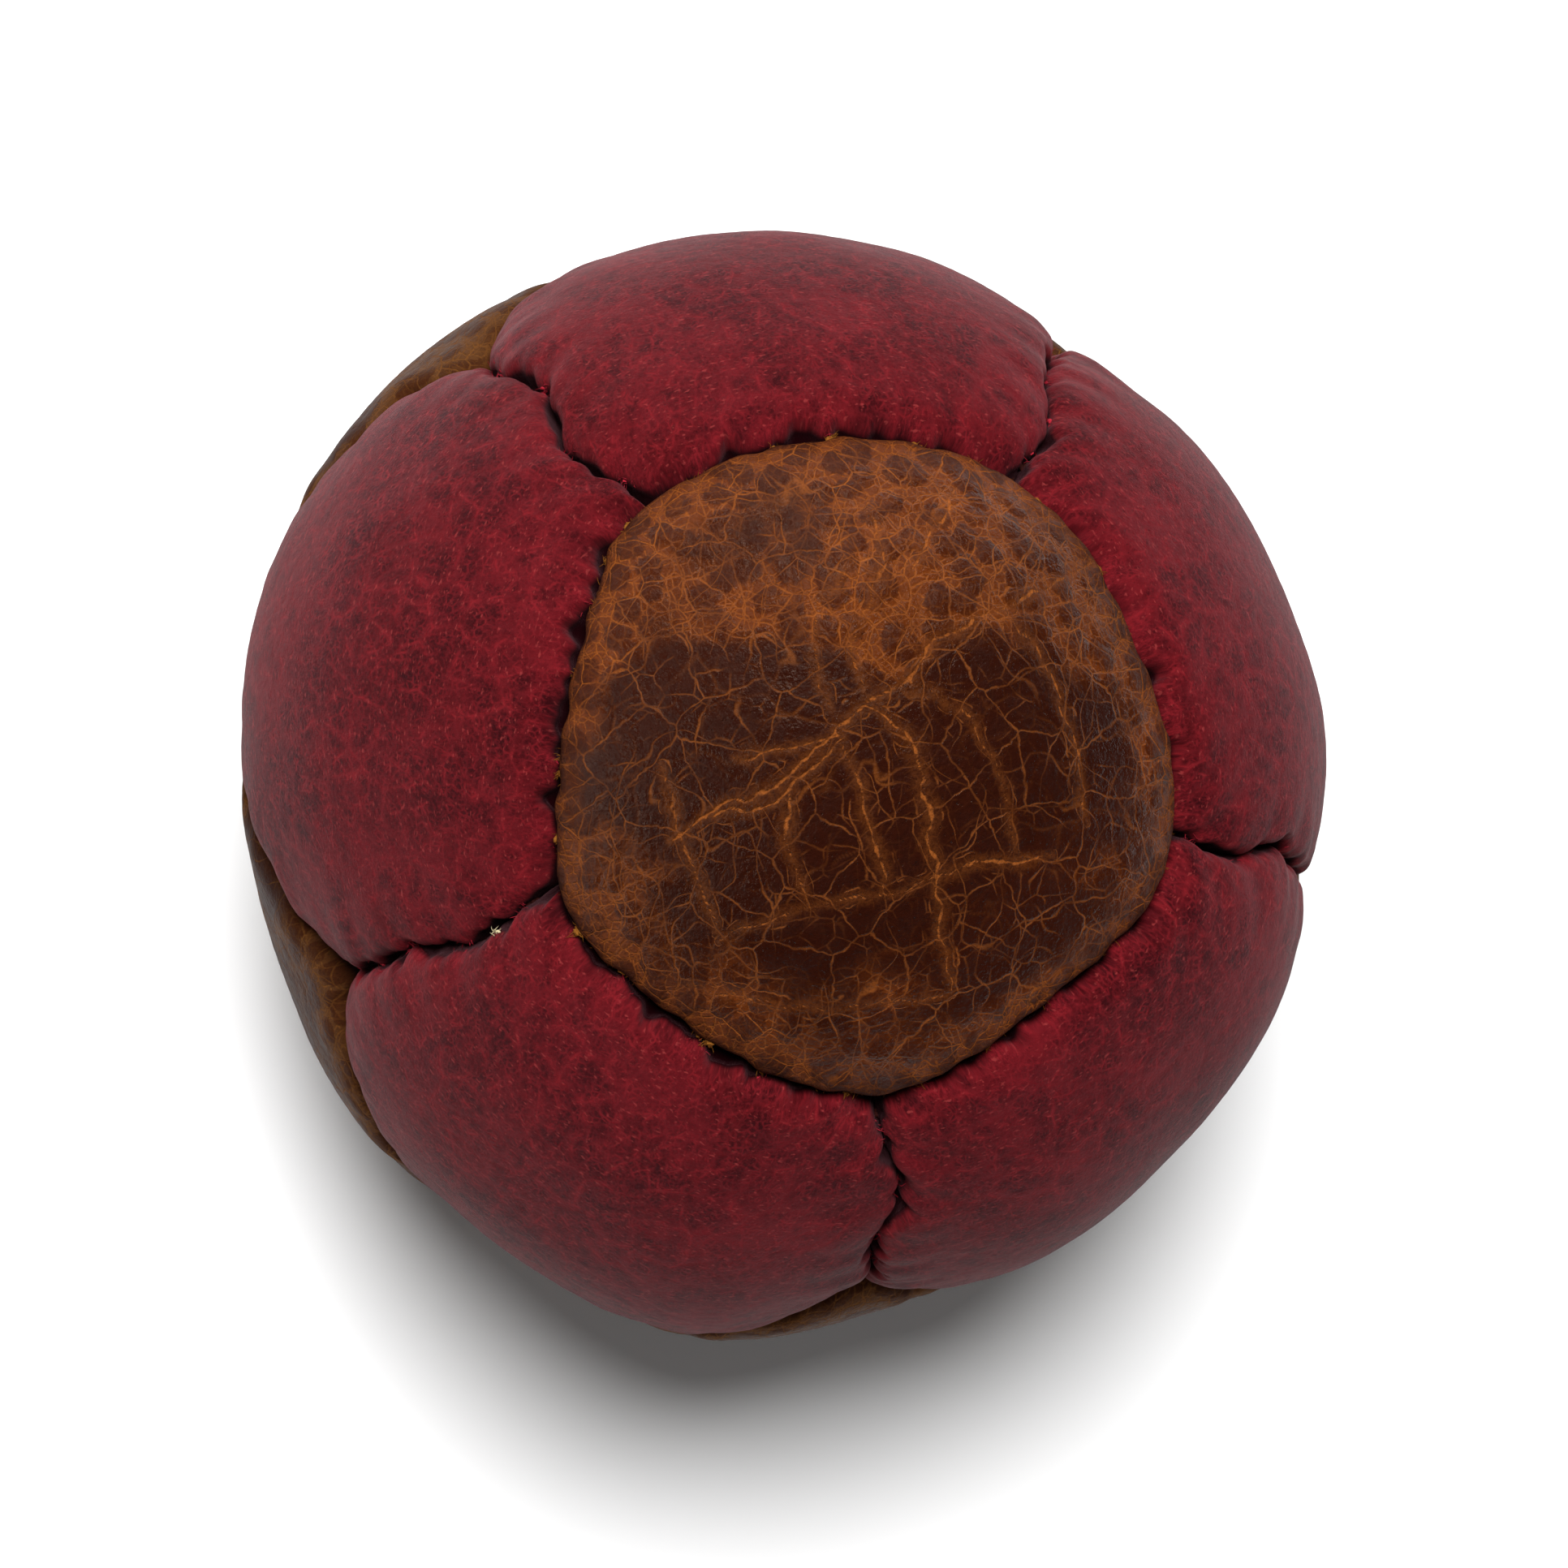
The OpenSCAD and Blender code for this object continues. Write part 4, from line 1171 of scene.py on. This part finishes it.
def crimson_material():
    n = Nodes("crimson_matt_leather")
    p = n.attr("flat_mm", True)
    crack, tone, edge = n.attr("crack"), n.attr("tone"), n.attr("edge_mm")
    raw, depth, fib, pull = n.attr("raw"), n.attr("depth"), n.attr("fibre"), n.attr("pull")
    w1 = warped(n, flat_on(n, p), 0.9, 0.5)
    w2 = warped(n, w1, 0.22, 1.4)
    wide_c = n.voronoi(w2, 0.40, "DISTANCE_TO_EDGE", dims="2D")
    net1 = n.ramp(wide_c, 0.0, 0.075, 1.0, 0.0)
    net2 = n.ramp(n.voronoi(w2, 0.95, "DISTANCE_TO_EDGE", dims="2D"), 0.0, 0.150, 1.0, 0.0)
    net3 = n.ramp(n.voronoi(w2, 2.3, "DISTANCE_TO_EDGE", dims="2D"), 0.0, 0.260, 1.0, 0.0)
    where = n.ramp(n.noise(p, 0.22, 3.0, 0.6), 0.40, 0.60)
    broken = n.ramp(n.noise(p, 1.1, 4.0, 0.65), 0.38, 0.64)
    net = n.math("MAXIMUM", n.math("MULTIPLY", n.math("MULTIPLY", net1, broken), 0.80), n.math("MULTIPLY", n.math("MULTIPLY", net2, where), n.math("MULTIPLY", broken, 0.85)))
    net = n.math("MAXIMUM", net, n.math("MULTIPLY", n.math("MULTIPLY", net3, broken), 0.55))
    net = n.math("MAXIMUM", net, n.math("MULTIPLY", crack, 0.30))
    # darker plates two or three millimetres across, in patches
    plates = n.math("MULTIPLY", n.ramp(wide_c, 0.03, 0.26), n.ramp(n.noise(p, 0.19, 3.0, 0.6), 0.46, 0.58))
    blot = n.math("MAXIMUM", n.math("MULTIPLY", plates, 0.85), n.math("MULTIPLY", n.ramp(n.noise(w1, 0.50, 3.0, 0.55), 0.50, 0.68), 0.75))
    cloud = n.noise(p, 0.13, 3.0, 0.6)
    grain = n.noise(p, 5.5, 5.0, 0.8)
    fine = n.voronoi(w2, 4.2, "F1", "Distance", 1.0)
    drawn = n.vmath("MULTIPLY", p, (5.2, 2.0, 1.0))
    fleck = n.ramp(n.noise(drawn, 1.0, 2.0, 0.5), 0.60, 0.72)
    speck = n.ramp(n.voronoi(p, 2.0, "F1"), 0.03, 0.16, 1.0, 0.0)
    base = n.mix(n.ramp(cloud, 0.35, 0.65), dye("440b10"), dye("5f1219"))
    col = n.mix(n.math("MULTIPLY", blot, 0.85), base, dye("2b080d"))
    col = n.mix(n.math("MULTIPLY", net, 0.85), col, dye("8c1f26"))
    col = n.mix(n.ramp(grain, 0.54, 0.74, 0.0, 0.65), col, dye("781f26"))
    col = n.mix(n.ramp(grain, 0.46, 0.28, 0.0, 0.60), col, dye("2a070b"))
    col = n.mix(n.ramp(fine, 0.42, 0.70, 0.0, 0.30), col, dye("701b22"))
    col = n.mix(n.math("MULTIPLY", speck, 0.50), col, dye("26060a"))
    col = n.mix(n.math("MULTIPLY", fleck, 0.45), col, dye("a8403f"))
    near = n.math("MULTIPLY", n.ramp(edge, 0.2, 1.8, 1.0, 0.0), pull)
    col = n.mix(n.math("MULTIPLY", near, n.ramp(grain, 0.42, 0.66, 0.0, 0.45)), col, dye("94202a"))
    # painted shade: near-black where depth is high, down the seam gap and in the sunken corners
    col = n.mix(n.ramp(depth, 0.18, 0.50), col, dye("180205"))
    flesh = n.mix(grain, dye("7c2a30"), dye("9c4044"))
    col = n.mix(raw, col, flesh)
    tuft = n.mix(fib, dye("7c0f1c"), dye("b02a38"))
    tuft = n.mix(n.ramp(fib, 1.2, 1.6), tuft, dye("d8c9a0"))
    col = n.mix(n.ramp(fib, 0.01, 0.05), col, tuft)
    rough = n.math("ADD", 0.56, n.math("MULTIPLY", n.math("SUBTRACT", grain, 0.5), 0.3))
    rough = n.math("MAXIMUM", rough, n.math("MULTIPLY", raw, 0.9), clamp=True)
    h = n.math("ADD", n.math("MULTIPLY", grain, 1.2), n.math("MULTIPLY", net, -0.25))
    h = n.math("SUBTRACT", h, n.math("MULTIPLY", speck, 0.3))
    b1 = n.bump(h, 0.9, 0.00008)
    n.set(Base_Color=col, Roughness=rough, Normal=b1)
    n.bsdf.inputs["Specular IOR Level"].default_value = 0.04
    n.bsdf.inputs["Sheen Weight"].default_value = 0.08
    n.bsdf.inputs["Sheen Roughness"].default_value = 0.4
    n.bsdf.inputs["Sheen Tint"].default_value = (0.95, 0.42, 0.48, 1.0)
    return n.mat


def thread_material():
    n = Nodes("waxed_linen_thread")
    p = n.node("ShaderNodeTexCoord", "Object")
    f = n.noise(p, 9000.0, 3.0, 0.6)
    g = n.noise(p, 900.0, 2.0)
    col = n.mix(f, lin("1d0a0a"), lin("45201c"))
    col = n.mix(n.math("MULTIPLY", n.ramp(g, 0.5, 0.75), 0.5), col, lin("5c3a30"))
    rough = n.ramp(f, 0.3, 0.7, 0.45, 0.7)
    n.set(Base_Color=col, Roughness=rough, Normal=n.bump(f, 0.6, 0.00004))
    n.bsdf.inputs["Specular IOR Level"].default_value = 0.5
    return n.mat


def cotton_material():
    n = Nodes("unbleached_cotton")
    p = n.attr("flat_mm", True)
    sep = n.node("ShaderNodeSeparateXYZ", 0, {"Vector": p}).node
    turns = 6.2832 / 0.55
    wx = n.math("SINE", n.math("MULTIPLY", sep.outputs[0], turns))
    wy = n.math("SINE", n.math("MULTIPLY", sep.outputs[1], turns))
    weave = n.math("MULTIPLY", wx, wy)
    h = n.math("ADD", n.math("ABSOLUTE", wx), n.math("ABSOLUTE", wy))
    slub = n.noise(p, 1.2, 3.0, 0.6)
    dirt = n.noise(p, 0.12, 3.0, 0.6)
    col = n.mix(n.ramp(weave, -1, 1), lin("b7a88a"), lin("e6dcc4"))
    col = n.mix(n.math("MULTIPLY", slub, 0.35), col, lin("cbb78f"))
    col = n.mix(n.math("MULTIPLY", n.ramp(dirt, 0.5, 0.8), 0.4), col, lin("a8916a"))
    n.set(Base_Color=col, Roughness=n.ramp(slub, 0.3, 0.7, 0.8, 0.95), Normal=n.bump(h, 0.7, 0.0001))
    n.bsdf.inputs["Sheen Weight"].default_value = 0.2
    return n.mat


def seed_material():
    n = Nodes("millet_seed")
    p = n.node("ShaderNodeTexCoord", "Object")
    tint, tip = n.attr("tint"), n.attr("tip")
    col = n.mix(tint, lin("b98f45"), lin("e3c887"))
    col = n.mix(n.math("MULTIPLY", n.ramp(n.noise(p, 1500.0, 3.0), 0.5, 0.7), 0.4), col, lin("8d6427"))
    col = n.mix(n.ramp(tip, 0.80, 0.97), col, lin("4e3313"))
    n.set(Base_Color=col, Roughness=n.ramp(n.noise(p, 2500.0, 2.0), 0.3, 0.7, 0.3, 0.5),
          Normal=n.bump(n.noise(p, 4000.0, 2.0), 0.3, 0.00005))
    return n.mat


BROWN, DULL_BROWN = brown_material("brown_pull_up_leather", True), brown_material("brown_leather_less_handled", False)
CRIMSON, THREAD, COTTON, SEED = crimson_material(), thread_material(), cotton_material(), seed_material()


def finish_piece(ob, mat, node):
    ob.data.materials.append(mat)
    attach(ob, "root")
    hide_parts(node)
    return ob


# ---------------------------------------------------------------------------
# Build the pieces
# ---------------------------------------------------------------------------
PANELS = (["brown_crown_panel"] + [f"crimson_petal_{i}" for i in range(1, 6)]
          + [f"brown_petal_{i}" for i in range(1, 6)] + ["crimson_base_panel"])
KINDS = ["crown"] + ["crimson"] * 5 + ["brown"] * 5 + ["crimson"]


def mesh_area(me):
    """Area of a mesh in square metres, both faces of the leather counted."""
    v = np.zeros(len(me.vertices) * 3, np.float32)
    me.vertices.foreach_get("co", v)
    v = v.reshape(-1, 3).astype(float)
    me.calc_loop_triangles()
    t = np.zeros(len(me.loop_triangles) * 3, np.int32)
    me.loop_triangles.foreach_get("vertices", t)
    t = t.reshape(-1, 3)
    return float(np.linalg.norm(np.cross(v[t[:, 1]] - v[t[:, 0]], v[t[:, 2]] - v[t[:, 0]]), axis=1).sum() / 2)


for k, (name, kind) in enumerate(zip(PANELS, KINDS)):
    ob = build_panel(k, name + "_leather", kind)
    finish_piece(ob, {"crown": BROWN, "brown": DULL_BROWN, "crimson": CRIMSON}[kind], name)

THREADS = {}
for i in range(5):
    THREADS[f"crown_seam_thread_{i + 1}"] = (0, 1 + i)
    THREADS[f"crimson_seam_thread_{i + 1}"] = (1 + i, 1 + (i + 1) % 5)
    THREADS[f"brown_seam_thread_{i + 1}"] = (6 + i, 6 + (i + 1) % 5)
    THREADS[f"base_seam_thread_{i + 1}"] = (6 + i, 11)
for i, pair in enumerate([(1, 6), (2, 6), (2, 7), (3, 7), (3, 8), (4, 8), (4, 9), (5, 9), (5, 10), (1, 10)]):
    THREADS[f"belt_seam_thread_{i + 1}"] = pair
for name, (ka, kb) in THREADS.items():
    shared = [v for v in range(20) if IDEAL[v] @ AXES[ka] > 0.75 and IDEAL[v] @ AXES[kb] > 0.75]
    s = SEAMS[(min(shared), max(shared))]
    ob = build_thread(s, name + "_twist")
    finish_piece(ob, THREAD, name)


def bag_radius(d, inset):
    """The stuffed bag's radius in direction d: round under the seams, with a lobe into each crown."""
    best = np.full(len(d), 27.9 - inset)
    for ax in AXES:
        c = d @ ax
        s2 = np.clip(1 - c * c, 0, 1)
        inside = 14.75 ** 2 - 17.75 ** 2 * s2
        lobe = np.where((c > 0.6) & (inside > 0), 17.75 * c + np.sqrt(np.maximum(inside, 0)) - 0.45 - inset, 0)
        best = np.maximum(best, lobe)
    return best


def build_liner():
    d, faces = ico(5)
    r = bag_radius(d, 0) * (roundness(d) * 0.5 + 0.5)
    wrinkle = 0.16 * noise(d * 28, 2.4, 701, 2) + 0.10 * noise(d * 28, 6.0, 702)
    # a gathered seam round the bag's middle
    band = np.exp(-(d[:, 2] * 28 / 0.7) ** 2)
    r = r - 0.25 + wrinkle * 0.8 - 0.22 * band + 0.1 * band * np.sin(np.arctan2(d[:, 1], d[:, 0]) * 60)
    out = press_flat(CENTRE + d * r[:, None], LEATHER_T + 0.3)
    inn = press_flat(CENTRE + d * (r - 0.45)[:, None], LEATHER_T + 0.75)
    v = np.concatenate([out, inn])
    t = np.concatenate([faces, faces[:, ::-1] + len(d)])
    ob = make_mesh("inner_liner_bag", v * MM, np.zeros((0, 4), int), t)
    lat, lon = np.arcsin(np.clip(d[:, 2], -1, 1)), np.arctan2(d[:, 1], d[:, 0])
    flat = np.column_stack([lon * 28 * np.cos(lat), lat * 28, np.zeros(len(d))])
    set_attr(ob.data, "flat_mm", np.concatenate([flat, flat]))
    return ob


def build_seed():
    """The filling: a core, and the seeds that lie against the bag."""
    core, core_f = ico(3)
    vs, fs, tint, tip, count = [], [], [], [], 0

    def add(v, f, tn, tp):
        nonlocal count
        vs.append(v); fs.append(f + count); tint.append(np.full(len(v), tn)); tip.append(tp)
        count += len(v)

    r0 = bag_radius(core, 0) * (roundness(core) * 0.5 + 0.5) - 3.1
    add(press_flat(CENTRE + core * r0[:, None], LEATHER_T + 3.0), core_f, 0.2, np.zeros(len(core)))
    n = 1900
    i = np.arange(n) + 0.5
    polar, az = np.arccos(1 - 2 * i / n), math.pi * (1 + 5 ** 0.5) * i
    d = np.column_stack([np.sin(polar) * np.cos(az), np.sin(polar) * np.sin(az), np.cos(polar)])
    r = np.random.default_rng(77)
    d = unit(d + r.normal(0, 0.006, d.shape))
    rad = bag_radius(d, 0) * (roundness(d) * 0.5 + 0.5) - 0.25 - 0.45 - 1.45
    sv, sf = ico(1)
    for j in range(n):
        a = unit(np.cross(d[j], r.standard_normal(3)))
        b = np.cross(d[j], a)
        size = r.uniform(1.02, 1.22)
        shape = sv * np.array([1.12, 0.98, 0.92]) * size
        tp = np.clip(sv[:, 0], 0, 1)
        v = CENTRE + d[j] * (rad[j] + r.uniform(-0.25, 0.1)) + shape[:, :1] * a + shape[:, 1:2] * b + shape[:, 2:] * d[j]
        low = v[:, 2].min() - (LEATHER_T + 0.95)
        if low < 0:
            v[:, 2] -= low
        add(v, sf, r.random(), tp)
    ob = make_mesh("seed_filling_grains", np.concatenate(vs) * MM, np.zeros((0, 4), int), np.concatenate(fs))
    set_attr(ob.data, "tint", np.concatenate(tint))
    set_attr(ob.data, "tip", np.concatenate(tip))
    return ob


liner = finish_piece(build_liner(), COTTON, "inner_liner")
seeds = finish_piece(build_seed(), SEED, "seed_filling")

# ---------------------------------------------------------------------------
# Floor, light and camera
# ---------------------------------------------------------------------------
scene = bpy.context.scene
scene.view_settings.view_transform = "Standard"
scene.view_settings.look = "None"
scene.view_settings.exposure = 0.0

floor_me = bpy.data.meshes.new("floor")
ring = [(3.0 * math.cos(a * math.pi / 32), 3.0 * math.sin(a * math.pi / 32), 0.0) for a in range(64)]
floor_me.from_pydata(ring, [], [list(range(64))])
floor = bpy.data.objects.new("floor", floor_me)
scene.collection.objects.link(floor)
fm = bpy.data.materials.new("floor_white")
fm.use_nodes = True
fb = fm.node_tree.nodes["Principled BSDF"]
fb.inputs["Base Color"].default_value = (0.96, 0.96, 0.96, 1)
fb.inputs["Roughness"].default_value = 0.9
fb.inputs["Specular IOR Level"].default_value = 0.1
floor_me.materials.append(fm)

world = bpy.data.worlds.new("studio")
scene.world = world
world.use_nodes = True
bg = world.node_tree.nodes["Background"]
bg.inputs["Color"].default_value = (1.0, 1.0, 1.0, 1)
bg.inputs["Strength"].default_value = 0.135
world.cycles_visibility.glossy = False

eye = Vector(CENTRE * MM)


def area_light(name, way, distance, size, watts, tall=None):
    data = bpy.data.lights.new(name, "AREA")
    data.shape, data.size, data.energy = ("RECTANGLE" if tall else "DISK"), size, watts
    if tall:
        data.size_y = tall
    ob = bpy.data.objects.new(name, data)
    scene.collection.objects.link(ob)
    w = Vector(way).normalized()
    ob.location = eye + w * distance
    # the light's own up lies along the picture's up
    z, y = w, Vector(CAM_UP)
    x = y.cross(z).normalized()
    ob.rotation_mode = "QUATERNION"
    ob.rotation_quaternion = Matrix((x, z.cross(x), z)).transposed().to_quaternion()
    return ob


# the overhead light throws the shadow, and two soft boxes put their reflections on the leather
key = area_light("overhead_light", (0.352, 0.106, 1.0), 1.2, 0.62, 26.0)
key.visible_glossy = False
upper = area_light("upper_softbox", (0.74, 0.02, 0.67), 0.9, 0.26, 4.2, 0.16)
left = area_light("left_softbox", (-0.04, 0.89, 0.46), 0.9, 0.14, 2.9, 0.36)
upper.visible_diffuse = left.visible_diffuse = False
upper.data.color = left.data.color = (1.0, 0.84, 0.70)

cam_data = bpy.data.cameras.new("camera")
cam = bpy.data.objects.new("camera", cam_data)
scene.collection.objects.link(cam)
scene.camera = cam
cam_data.sensor_width = 36.0
cam_data.lens = 149.25
cam_data.clip_start, cam_data.clip_end = 0.01, 50.0
cam_data.shift_x, cam_data.shift_y = -0.0006, -0.0034
right, up, back = Vector(CAM_RIGHT), Vector(CAM_UP), Vector(CAM_DIR)
rot = Matrix((right, up, back)).transposed()
cam.rotation_mode = "QUATERNION"
cam.rotation_quaternion = rot.to_quaternion()
cam.location = eye + back * (12.0 * BALL_R * MM)

# ---------------------------------------------------------------------------
bpy.context.view_layer.update()
